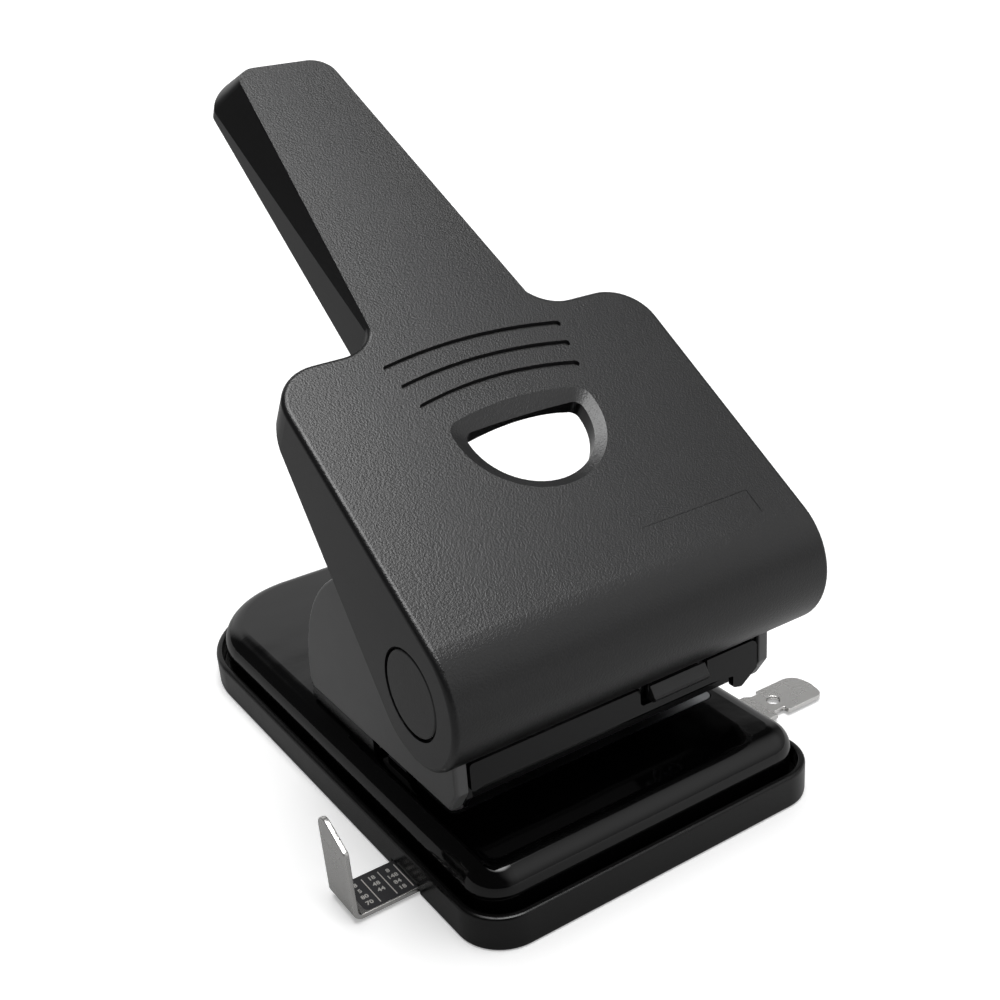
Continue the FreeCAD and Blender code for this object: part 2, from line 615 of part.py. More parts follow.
def shaft_clips():
    """Open rings in the shaft's grooves."""
    ring = rod_x(PIVOT_Y, PIVOT_Z, 6.4, 57.42, 58.42).cut(rod_x(PIVOT_Y, PIVOT_Z, SHAFT_R - 0.56, 50, 60))
    ring = ring.cut(box(50, 60, PIVOT_Y - 2.2, PIVOT_Y + 2.2, PIVOT_Z - 9, PIVOT_Z))
    return both_sides(ring)


def shaft_bushes():
    """Plastic spacers on the shaft between the lever arm and the frame plates."""
    bush = rod_x(PIVOT_Y, PIVOT_Z, 7.5, ARM_OUT + 0.1, FRAME_IN - 0.05)
    return both_sides(bush.cut(rod_x(PIVOT_Y, PIVOT_Z, SHAFT_R + RUNNING, 40, 60)))


def stop_pins():
    """Pins in the side plates that the arm's curved slots run on, ending the lever's swing."""
    y, z = on_circle((PIVOT_Y, PIVOT_Z), STOP_PIN_RADIUS, STOP_PIN_ANGLE)
    pin = rod_x(y, z, STOP_PIN_R, ARM_OUT - ARM_SHEET - 0.6, FRAME_OUT + 0.1)
    head = rod_x(y, z, STOP_PIN_R + 0.6, FRAME_OUT, FRAME_OUT + 0.9)
    return both_sides(fuse([pin, head]))


DRIVE_U = DRIVE_ARM * math.cos(math.radians(LEVER_SWING / 2 - LEVER_RAISED))
DRIVE_V = DRIVE_ARM * math.sin(math.radians(LEVER_SWING / 2 - LEVER_RAISED))
WINDOW = (24.6, 31.0, 62.6)
ARM_SCREWS = [(36.0, 21.0), (36.0, 75.0)]
HANDLE_SCREWS = [118.0, 196.0]


def arm_flange():
    """Right-hand flange of the arm, with the pivot bore, drive pin bore and stop slot."""
    x = ARM_OUT - ARM_SHEET
    along = vec(ARM_SHEET, 0, 0)
    body = [(-6, -14.5, 3), (DRIVE_U + 2, -13.2, 6), (80, 7.5, 3), (84, ARM_TOP_V, 0), (-6, ARM_TOP_V, 5)]
    shapes = [slab(rounded(body, side(x)), along), rod_x(0, 0, BOSS_R + 0.6, x, x + ARM_SHEET)]
    flange = fuse(shapes)
    above = box(x - 1, x + 3, -30, 100, ARM_TOP_V, 40)
    turn_from = STOP_PIN_ANGLE - LEVER_RAISED - 0.6
    turn_to = STOP_PIN_ANGLE - LEVER_RAISED + LEVER_SWING + 0.6
    middle = (turn_from + turn_to) / 2
    inner = STOP_PIN_RADIUS - STOP_PIN_R - 0.1
    outer = STOP_PIN_RADIUS + STOP_PIN_R + 0.1
    slot = trace(on_circle((0, 0), inner, turn_from),
                 [(on_circle((0, 0), inner, middle), on_circle((0, 0), inner, turn_to)),
                  (on_circle((0, 0), outer, turn_to),),
                  (on_circle((0, 0), outer, middle), on_circle((0, 0), outer, turn_from))], side(x - 1))
    ends = [rod_x(*on_circle((0, 0), STOP_PIN_RADIUS, turn), STOP_PIN_R + 0.1, x - 1, x + 4)
            for turn in (turn_from, turn_to)]
    bores = [rod_x(0, 0, SHAFT_R + RUNNING, x - 1, x + 4), rod_x(DRIVE_U, DRIVE_V, DRIVE_PIN_R + 0.02, x - 1, x + 4)]
    return cut(flange, [above, slab(slot, vec(5, 0, 0))] + ends + bores)


def lever_arm():
    """Steel channel that carries the load from the handle to the drive pin."""
    low = ARM_TOP_V - ARM_SHEET
    web = [(-ARM_OUT, 14, 0), (ARM_OUT, 14, 0), (ARM_OUT, 84, 6), (19.5, 96, 8), (13, 206, 3),
           (-13, 206, 3), (-19.5, 96, 8), (-ARM_OUT, 84, 6)]
    web = slab(rounded(web, plan(low)), vec(0, 0, ARM_SHEET))
    x, u0, u1 = WINDOW
    window = [(-x, u0, 9), (x, u0, 9), (x, u1, 4), (-x, u1, 4)]
    web = web.cut(slab(rounded(window, plan(0)), vec(0, 0, 40)))
    outer = [(-19.2, 98, 0), (19.2, 98, 0), (13, 206, 3), (-13, 206, 3)]
    inner = [(-17.2, 90, 0), (17.2, 90, 0), (11, 204, 1), (-11, 204, 1)]
    rails = slab(rounded(outer, plan(8.5)), vec(0, 0, ARM_TOP_V - 8.5))
    rails = rails.cut(slab(rounded(inner, plan(0)), vec(0, 0, low)))
    flange = arm_flange()
    arm = fuse([web, rails, flange, mirrored(flange)])
    holes = [rod_z(s * a, b, 1.7, 0, 30) for a, b in ARM_SCREWS for s in (-1, 1)]
    holes += [rod_z(0, b, 1.7, 0, 30) for b in HANDLE_SCREWS]
    return raise_lever(cut(arm, holes))


def lever_screws():
    """Screws up through the arm into the cover's bosses."""
    under = ARM_TOP_V - ARM_SHEET
    places = [(s * a, b) for a, b in ARM_SCREWS for s in (-1, 1)] + [(0, b) for b in HANDLE_SCREWS]
    screws = []
    for x, u in places:
        head = rod_z(x, u, 3.0, under - 1.8, under)
        head = head.makeChamfer(0.7, edges_where(head, lambda b: b.ZMax < under - 1.7))
        shank = rod_z(x, u, 1.5, under - 0.1, INNER_TOP_V + 0.9)
        cross = fuse([box(x - 1.7, x + 1.7, u - 0.35, u + 0.35, under - 3, under - 1.1),
                      box(x - 0.35, x + 0.35, u - 1.7, u + 1.7, under - 3, under - 1.1)])
        screws.append(fuse([head, shank]).cut(cross))
    return raise_lever(Part.makeCompound(screws))


def drive_pin():
    """Pin across the arm that pushes the crosshead, grooved for a clip at each end."""
    pin = rod_x(DRIVE_U, DRIVE_V, DRIVE_PIN_R, -50.0, 50.0)
    groove = rod_x(DRIVE_U, DRIVE_V, 6, ARM_OUT + 0.2, ARM_OUT + 1.24)
    groove = groove.cut(rod_x(DRIVE_U, DRIVE_V, DRIVE_PIN_R - 0.6, 40, 60))
    return raise_lever(cut(pin, [groove, mirrored(groove)]))


def drive_pin_clips():
    ring = rod_x(DRIVE_U, DRIVE_V, 6.2, ARM_OUT + 0.22, ARM_OUT + 1.22)
    ring = ring.cut(rod_x(DRIVE_U, DRIVE_V, DRIVE_PIN_R - 0.56, 40, 60))
    ring = ring.cut(box(40, 60, DRIVE_U - 2.2, DRIVE_U + 2.2, DRIVE_V, DRIVE_V + 9))
    return raise_lever(both_sides(ring))


def nose_profile(x):
    """Side view of the wide part: nose arc, straight lower edge, shoulder and flat top."""
    slope = math.radians(18.9)
    distance = 20.0
    meet = math.degrees(slope - math.acos(distance / NOSE_R)) - 90
    low_u = 80.0
    low_v = low_u * math.tan(slope) - distance / math.cos(slope)
    steps = [(on_circle((0, 0), NOSE_R, (meet - 270) / 2), on_circle((0, 0), NOSE_R, meet)),
             ((low_u, low_v),), ((86.0, 9.4),), ((120.0, 9.4),), ((120.0, NOSE_R),)]
    return trace((0, NOSE_R), steps, side(x))


def wide_form():
    """Wide part of the lever with rounded shoulders and a hollow curve into the handle."""
    x = LEVER_HALF_WIDTH
    taper = (HANDLE_TOP_ROOT - HANDLE_TOP_TIP) / (HANDLE_TIP_U - SHOULDER_U)
    reach = 18.0
    end = HANDLE_TOP_ROOT - reach * taper
    neck = [(end, SHOULDER_U + reach, 0), (-end, SHOULDER_U + reach, 0), (-HANDLE_TOP_ROOT, SHOULDER_U, 13)]
    outline = [(-x, SHOULDER_U, 15), (-x, -40, 0), (x, -40, 0), (x, SHOULDER_U, 15), (HANDLE_TOP_ROOT, SHOULDER_U, 13)]
    block = slab(nose_profile(-x), vec(2 * x, 0, 0))
    block = block.common(slab(rounded(outline + neck, plan(-60)), vec(0, 0, 120)))
    rim = edges_where(block, lambda b: (b.ZMin > NOSE_R - 1e-3 and b.YMax < SHOULDER_U + reach - 0.1 and b.YMax > 0.1)
                      or (abs(b.XMin) > x - 1e-3 and abs(b.XMax) > x - 1e-3 and b.YMin < -NOSE_R + 1))
    return block.makeFillet(1.8, rim)


def wide_hollow():
    """Inside of the wide part, open downwards."""
    r = NOSE_R - SKIN
    x = LEVER_HALF_WIDTH - SKIN
    rear = SHOULDER_U - SKIN
    profile = trace((0, r), [(on_circle((0, 0), r, 180), (0, -r)), ((0, -60),), ((110, -60),), ((110, r),)], side(-x))
    outline = rounded([(-x, -40, 0), (x, -40, 0), (x, rear, 12.5), (-x, rear, 12.5)], plan(-60))
    return slab(profile, vec(2 * x, 0, 0)).common(slab(outline, vec(0, 0, 120)))


def handle_plan(root, tip, tip_u, corner, v):
    start = SHOULDER_U - 12.0
    flare = root + (root - tip) * (SHOULDER_U - start) / (tip_u - SHOULDER_U)
    return rounded([(-flare, start, 0), (flare, start, 0), (tip, tip_u, corner), (-tip, tip_u, corner)], plan(v))


def handle_block(inset):
    """Handle: upright lower band with the top drafted in over it, and sloped off at the tip."""
    drop = 26.0
    spread = (HANDLE_LOW_TIP - HANDLE_TOP_TIP) / 15.6 * drop
    slope = 0.75 * drop
    taper = (HANDLE_TOP_ROOT - HANDLE_TOP_TIP) / (HANDLE_TIP_U - SHOULDER_U)
    top_v = NOSE_R - inset
    low = handle_plan(HANDLE_LOW_ROOT - inset, HANDLE_LOW_TIP - inset, HANDLE_LOW_TIP_U - inset, 6.5, -20)
    band = slab(low, vec(0, 0, top_v + 20))
    upper = handle_plan(HANDLE_TOP_ROOT - inset, HANDLE_TOP_TIP - inset, HANDLE_TIP_U - inset, 8.0, top_v)
    lower = handle_plan(HANDLE_TOP_ROOT - inset + spread, HANDLE_TOP_TIP - inset + spread - slope * taper,
                        HANDLE_TIP_U - inset + slope, 16.0, top_v - drop)
    return band.common(Part.makeLoft([upper, lower], True, True))


def d_tool(middle_u, r, edge_u, bow, corner, v0, v1):
    """Finger-hole form: most of a circle, closed towards the handle by a flat bowed edge."""
    centre = (0, middle_u)
    half = math.sqrt(r ** 2 - (edge_u - centre[1]) ** 2)
    outline = trace((-half, edge_u), [(on_circle(centre, r, -90), (half, edge_u)), ((0, edge_u + bow), (-half, edge_u))],
                    plan(v0))
    tool = slab(outline, vec(0, 0, v1 - v0))
    upright = edges_where(tool, lambda b: b.XLength < 1e-3 and b.YLength < 1e-3)
    return tool.makeFillet(corner, upright)


def d_wire(middle_u, r, edge_u, bow, corner, v):
    """The same outline as a wire at height v."""
    tool = d_tool(middle_u, r, edge_u, bow, corner, v, v + 1)
    return [face for face in tool.Faces if face.BoundBox.ZMax < v + 1e-3][0].OuterWire


def groove_wire(half, end_u, rise, width, v):
    """Arc-shaped slot outline with round ends, bowed towards the handle."""
    r = (half ** 2 + rise ** 2) / (2 * rise)
    centre = (0, end_u + rise - r)
    turn = math.degrees(math.asin(half / r))
    ends = [on_circle(centre, r, 90 + turn), on_circle(centre, r, 90 - turn)]
    outer = [on_circle(centre, r + width, 90 + s * turn) for s in (1, 0, -1)]
    inner = [on_circle(centre, r - width, 90 + s * turn) for s in (1, 0, -1)]
    left = on_circle(ends[0], width, 180 + turn)
    right = on_circle(ends[1], width, -turn)
    return trace(outer[0], [(outer[1], outer[2]), (right, inner[2]), (inner[1], inner[0]), (left, outer[0])],
                 plan(v))


def grip_grooves():
    """Three shallow arcs across the top of the cover."""
    grooves = []
    for half, end_u, rise in ((30.0, 87.0, 2.9), (28.4, 79.0, 2.9), (26.7, 70.8, 3.1)):
        mouth = groove_wire(half, end_u, rise, 1.25, NOSE_R + 0.1)
        bed = groove_wire(half, end_u, rise, 0.85, NOSE_R - 1.1)
        grooves.append(Part.makeLoft([bed, mouth], True, True))
    return grooves


def catch_rib():
    """Rib inside the nose that rides round the shaft; its tooth is what the latch holds."""
    x = CATCH_X[0]
    width = vec(CATCH_X[1] - CATCH_X[0], 0, 0)
    hub = rod_x(0, 0, 11.0, x, CATCH_X[1])
    post = slab(rounded([(-7, 0, 0), (9, 0, 0), (9, NOSE_R - 1, 0), (-4, NOSE_R - 1, 0)], side(x)), width)
    wedge = slab(trace((0, 0), [(on_circle((0, 0), 18.6, -107),),
                                (on_circle((0, 0), 18.6, -99), on_circle((0, 0), 18.6, -91.5))], side(x)), width)
    return fuse([hub, post, wedge]).cut(rod_x(0, 0, SHAFT_R + 0.3, x - 1, x + 5))


def lever_cover():
    """Moulded cover: shell, finger-hole collar, grip grooves, bosses, cap seats and catch rib."""
    body = fuse([wide_form(), handle_block(0)])
    shell = body.cut(fuse([wide_hollow(), handle_block(SKIN)]))
    under = box(-70, 70, 81, 240, -40, 4.8)
    under.rotate(vec(0, 105, 4.8), vec(1, 0, 0), -1.2)
    shell = shell.cut(under)
    opening = -NOSE_R * math.sin(math.radians(42))
    shell = shell.cut(box(-62.5, 62.5, opening, 60, -40, -14.9))
    collar = d_tool(55.6, 21.8, 60.2, 0.8, 4.4, INNER_TOP_V - 3.6, NOSE_R - 0.2)
    arch = Part.makeCylinder(61.4, 8, vec(0, 57, INNER_TOP_V - 1.0 - 61.4), vec(0, 1, 0))
    dish = Part.makeLoft([d_wire(55.6, 20.3, 58.7, 0.6, 3.0, NOSE_R - 1.2),
                          d_wire(56.9, 24.9, 62.6, 3.6, 5.0, NOSE_R + 0.15)], True, True)
    bosses = [rod_z(s * a, b, 4.0, ARM_TOP_V, NOSE_R - 1) for a, b in ARM_SCREWS for s in (-1, 1)]
    bosses += [rod_z(0, b, 4.0, ARM_TOP_V, NOSE_R - 1) for b in HANDLE_SCREWS]
    seat = rod_x(0, 0, 16.0, 60.5, LEVER_HALF_WIDTH - 1)
    shell = fuse([shell, collar.cut(arch), catch_rib(), seat, mirrored(seat)] + bosses)
    tools = [dish, d_tool(55.6, 20.3, 58.7, 0.6, 3.0, 0, 40)] + grip_grooves()
    tools += [box(11, 50, 3.2, 11.6, NOSE_R - 0.15, NOSE_R + 2)]
    recess = fuse([rod_x(0, 0, CAP_R, 62.8, 70), rod_x(0, 0, 7.05, 55, 70)])
    tools += [recess, mirrored(recess)]
    tools += [rod_z(s * a, b, 1.52, 10, INNER_TOP_V + 1.2) for a, b in ARM_SCREWS for s in (-1, 1)]
    tools += [rod_z(0, b, 1.52, 10, INNER_TOP_V + 1.2) for b in HANDLE_SCREWS]
    return raise_lever(cut(shell, tools))


def pivot_cap():
    """Right cap: flush disc with a hub that the shaft's end turns in."""
    disc = rod_x(0, 0, CAP_R - 0.7, 62.85, LEVER_HALF_WIDTH - 0.1)
    disc = disc.makeChamfer(0.4, edges_where(disc, lambda b: b.XMin > LEVER_HALF_WIDTH - 0.2))
    hub = rod_x(0, 0, 7.0, 59.4, 63.0)
    bore = rod_x(0, 0, SHAFT_R + RUNNING, 59, 61.9)
    return raise_lever(fuse([disc, hub]).cut(bore))


def paper_guide():
    """Strip with an upturned paper stop on the left and a notched pull end on the right."""
    y0 = GUIDE_FRONT_Y
    y1 = GUIDE_REAR_Y
    bend_x = GUIDE_TAB_X + GUIDE_BEND_R
    bend_z = GUIDE_Z + GUIDE_SHEET + GUIDE_BEND_R
    strip = [(bend_x, y0, 0), (79.2, y0, 0.5), (79.2, y0 + 2.4, 0.6), (84.0, y0 + 2.4, 0.6), (84.0, y0, 0.5),
             (GUIDE_TIP_X - 1.6, y0, 3.6), (GUIDE_TIP_X, y0 + GUIDE_WIDTH / 2, 9), (GUIDE_TIP_X - 1.6, y1, 5.4),
             (83.2, y1, 0.3), (82.6, y1 - 1.5, 0.7), (79.6, y1 - 1.5, 1.5), (77.4, y1, 1.0), (bend_x, y1, 0)]
    strip = slab(rounded(strip, plan(GUIDE_Z)), vec(0, 0, GUIDE_SHEET))
    strip = strip.cut(rod_z(84.1, (y0 + y1) / 2, 2.4, -1, 5))
    tab = [(y0, bend_z, 0), (y1, bend_z, 0), (y1, 33.0, 4.2), (y0, 24.6, 1.2)]
    tab = slab(rounded(tab, side(GUIDE_TAB_X - GUIDE_SHEET)), vec(GUIDE_SHEET, 0, 0))
    tab.rotate(vec(bend_x, 0, bend_z), vec(0, 1, 0), -1.1)
    turn = [Part.makeCylinder(r, GUIDE_WIDTH, vec(bend_x, y0, bend_z), vec(0, 1, 0))
            for r in (GUIDE_BEND_R + GUIDE_SHEET, GUIDE_BEND_R)]
    bend = turn[0].cut(turn[1]).common(box(GUIDE_TAB_X - 5, bend_x, y0, y1, GUIDE_Z, bend_z))
    return fuse([strip, bend, tab])


NODES = {
    "chip_tray": chip_tray,
    "guide_channel": guide_channel,
    "base_plate": base_plate,
    "die_plate": die_plate,
    "die_rivets": die_rivets,
    "base_rivets": base_rivets,
    "paper_stop": paper_stop,
    "frame_bracket": frame_bracket,
    "side_cover_left": lambda: mirrored(side_cover()),
    "side_cover_right": side_cover,
    "side_cover_screws": side_cover_screws,
    "front_wall": front_wall,
    "side_rivets": side_rivets,
    "latch_slider": latch_slider,
    "latch_keeper": latch_keeper,
    "punch_guide": punch_guide,
    "punch_left": lambda: mirrored(punch_pin()),
    "punch_right": punch_pin,
    "punch_clips": punch_clips,
    "crosshead": crosshead,
    "return_spring_left": lambda: mirrored(return_spring()),
    "return_spring_right": return_spring,
    "pivot_shaft": pivot_shaft,
    "shaft_clips": shaft_clips,
    "shaft_bushes": shaft_bushes,
    "stop_pins": stop_pins,
    "lever_arm": lever_arm,
    "lever_screws": lever_screws,
    "drive_pin": drive_pin,
    "drive_pin_clips": drive_pin_clips,
    "lever_cover": lever_cover,
    "pivot_cap_left": lambda: mirrored(pivot_cap()),
    "pivot_cap_right": pivot_cap,
    "paper_guide": paper_guide,
}


def main():
    os.makedirs("parts", exist_ok=True)
    for name, make in NODES.items():
        shape = make()
        shape.exportStep(f"parts/{name}.step")
        print(f"{name}: {len(shape.Solids)} solid(s), {shape.Volume:.0f} mm3, valid {shape.isValid()}")


main()
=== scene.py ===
"""Looks of a two-hole desk punch: grained black mouldings, gloss enamel, plated steel, soft studio light.

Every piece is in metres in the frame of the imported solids: origin on the table under the middle of
the tray, +X to the user's right, +Y away from the user, +Z up.
"""

import json
import logging
import math
from dataclasses import dataclass, field
from enum import Enum
from typing import Callable, Sequence

import bmesh
import bpy
from mathutils import Matrix, Vector

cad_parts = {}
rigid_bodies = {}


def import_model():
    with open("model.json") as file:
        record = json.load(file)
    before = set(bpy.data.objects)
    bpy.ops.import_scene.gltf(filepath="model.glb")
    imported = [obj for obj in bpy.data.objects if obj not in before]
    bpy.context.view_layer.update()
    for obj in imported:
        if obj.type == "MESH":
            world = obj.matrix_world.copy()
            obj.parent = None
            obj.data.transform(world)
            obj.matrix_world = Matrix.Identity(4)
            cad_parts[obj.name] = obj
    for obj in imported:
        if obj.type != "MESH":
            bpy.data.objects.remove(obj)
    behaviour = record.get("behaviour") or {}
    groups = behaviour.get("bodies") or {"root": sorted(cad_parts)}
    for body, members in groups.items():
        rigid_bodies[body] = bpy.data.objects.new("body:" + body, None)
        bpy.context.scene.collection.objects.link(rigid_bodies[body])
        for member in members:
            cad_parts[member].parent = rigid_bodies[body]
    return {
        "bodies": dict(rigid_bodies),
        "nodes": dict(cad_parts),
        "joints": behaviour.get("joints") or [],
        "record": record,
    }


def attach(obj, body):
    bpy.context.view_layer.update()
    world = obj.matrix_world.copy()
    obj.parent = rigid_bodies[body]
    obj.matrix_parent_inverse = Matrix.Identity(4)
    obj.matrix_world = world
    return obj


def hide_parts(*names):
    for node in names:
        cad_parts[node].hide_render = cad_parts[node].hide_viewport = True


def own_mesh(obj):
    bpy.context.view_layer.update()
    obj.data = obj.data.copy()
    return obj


logging.basicConfig(level=logging.INFO, format="%(message)s")
LOG = logging.getLogger("punch")

MM = 0.001
FLAT = math.radians(1)
CREASE = math.radians(12)
ROUNDED = math.radians(30)
MERGE_DISTANCE = 2e-6
SLIVER_DISTANCE = 1e-6
SMUDGE_SHARE = 0.4
Point = tuple[float, float, float]
Colour = tuple[float, float, float]
Reshape = Callable[[bmesh.types.BMesh], None]


class Slot(Enum):
    """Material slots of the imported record."""

    TRAY = "tray_plastic"
    BASE = "base_enamel"
    BLACK_STEEL = "black_steel"
    GREY_COVER = "grey_cover"
    LEVER = "lever_plastic"
    CAP = "cap_plastic"
    LATCH = "latch_plastic"
    BUSH = "bush_plastic"
    BARE_STEEL = "bare_steel"
    HARD_STEEL = "hard_steel"
    SPRING_STEEL = "spring_steel"
    NICKEL = "nickel_plate"


class Body(Enum):
    """Bodies that new pieces ride on."""

    BASE = "base"
    TRAY = "tray"
    LEVER = "lever"
    LATCH = "latch"
    GUIDE = "guide"


# Node trees


class Sheet:
    """A node tree being wired, with short ways to add and join nodes."""

    def __init__(self, tree: bpy.types.NodeTree) -> None:
        """Start on an empty tree.

        Args:
            tree: node tree of a material, a world or a group.
        """
        self.tree = tree
        tree.nodes.clear()

    def add(self, kind: str, **settings: object) -> bpy.types.Node:
        """Add a node and set its properties and inputs.

        Args:
            kind: the node's type name.
            settings: a property by its own name, or an input as in_Name (spaces as _).

        Returns:
            The new node.
        """
        node = self.tree.nodes.new(kind)
        for name, value in settings.items():
            if not name.startswith("in_"):
                setattr(node, name, value)
        for name, value in settings.items():
            if name.startswith("in_"):
                self.feed(node, name[3:].replace("_", " "), value)
        return node

    def feed(self, node: bpy.types.Node, socket: str | int, value: object) -> None:
        """Set an input to a value, or link it from another node's output.

        Args:
            node: the node whose input is set.
            socket: the input's name or place.
            value: a plain value or an output socket.
        """
        target = node.inputs[socket]
        if isinstance(value, bpy.types.NodeSocket):
            self.tree.links.new(value, target)
        else:
            target.default_value = value

    def maths(self, operation: str, first: object, second: object = 0.0) -> bpy.types.NodeSocket:
        """A Math node on two values.

        Args:
            operation: the operation's name.
            first: left value or socket.
            second: right value or socket.

        Returns:
            The result's socket.
        """
        node = self.add("ShaderNodeMath", operation=operation)
        self.feed(node, 0, first)
        self.feed(node, 1, second)
        return node.outputs[0]

    def span(self, value: object, low: float, high: float, out_low: float, out_high: float,
             smooth: bool = False) -> bpy.types.NodeSocket:
        """Map a value from one range to another, held at both ends.

        Args:
            value: the socket to map.
            low: where the input range starts.
            high: where it ends.
            out_low: result at low.
            out_high: result at high.
            smooth: ease in and out instead of a straight ramp.

        Returns:
            The mapped value's socket.
        """
        node = self.add("ShaderNodeMapRange", interpolation_type="SMOOTHSTEP" if smooth else "LINEAR",
                        in_Value=value, in_From_Min=low, in_From_Max=high,
                        in_To_Min=out_low, in_To_Max=out_high)
        return node.outputs["Result"]

    def blend(self, factor: object, first: object, second: object) -> bpy.types.NodeSocket:
        """A colour between two others.

        Args:
            factor: 0 gives the first, 1 the second.
            first: colour or socket.
            second: colour or socket.

        Returns:
            The mixed colour's socket.
        """
        node = self.add("ShaderNodeMix", data_type="RGBA")
        self.feed(node, 0, factor)
        self.feed(node, 6, first)
        self.feed(node, 7, second)
        return node.outputs[2]


class FormTree:
    """A Geometry Nodes tree with named sizes that makes one mesh."""

    def __init__(self, name: str, sizes: dict[str, float]) -> None:
        """Make the tree's sockets.

        Args:
            name: the tree's name.
            sizes: input names and their starting values.
        """
        self.tree = bpy.data.node_groups.new(name, "GeometryNodeTree")
        self.sheet = Sheet(self.tree)
        self.keys: dict[str, str] = {}
        for label, value in sizes.items():
            socket = self.tree.interface.new_socket(label, in_out="INPUT", socket_type="NodeSocketFloat")
            socket.default_value = value
            self.keys[label] = socket.identifier
        self.tree.interface.new_socket("Geometry", in_out="OUTPUT", socket_type="NodeSocketGeometry")
        self.source = self.sheet.add("NodeGroupInput")
        self.sink = self.sheet.add("NodeGroupOutput")

    def size(self, label: str) -> bpy.types.NodeSocket:
        """The socket of a named size."""
        return self.source.outputs[label]

    def close(self, shape: bpy.types.NodeSocket, material: bpy.types.Material) -> None:
        """Realize what the tree repeats, give it its material and end the tree.

        Args:
            shape: the geometry made so far.
            material: its finish.
        """
        real = self.sheet.add("GeometryNodeRealizeInstances", in_Geometry=shape)
        worn = self.sheet.add("GeometryNodeSetMaterial", in_Geometry=real.outputs[0], in_Material=material)
        self.sheet.feed(self.sink, "Geometry", worn.outputs[0])

    def make(self, name: str, **sizes: float) -> bpy.types.Object:
        """Run the tree once and keep its result as a plain mesh.

        Args:
            name: the new piece's name.
            sizes: values of the named sizes, spaces as _.

        Returns:
            The piece, at the origin.
        """
        seed = bpy.data.objects.new(name + "_seed", bpy.data.meshes.new(name + "_seed"))
        bpy.context.scene.collection.objects.link(seed)
        step = seed.modifiers.new(name, "NODES")
        step.node_group = self.tree
        for label, value in sizes.items():
            step[self.keys[label.replace("_", " ")]] = float(value)
        view = bpy.context.evaluated_depsgraph_get()
        mesh = bpy.data.meshes.new_from_object(seed.evaluated_get(view))
        mesh.name = name
        seed.modifiers.remove(step)
        bpy.data.objects.remove(seed)
        return stand(name, mesh)


def stand(name: str, mesh: bpy.types.Mesh) -> bpy.types.Object:
    """Put a finished mesh into the scene.

    Args:
        name: the piece's name.
        mesh: its mesh, already in place.

    Returns:
        The object, at the origin and unturned.
    """
    piece = bpy.data.objects.new(name, mesh)
    bpy.context.scene.collection.objects.link(piece)
    return piece


# Surface effects and finishes


class Effect(Enum):
    """Shared surface effects, each one a shader node group."""

    GRAIN = "moulded_grain"
    PEEL = "sprayed_waviness"
    SMUDGE = "handling_smudges"
    BRUSH = "brushed_lines"
    DUST = "settled_dust"


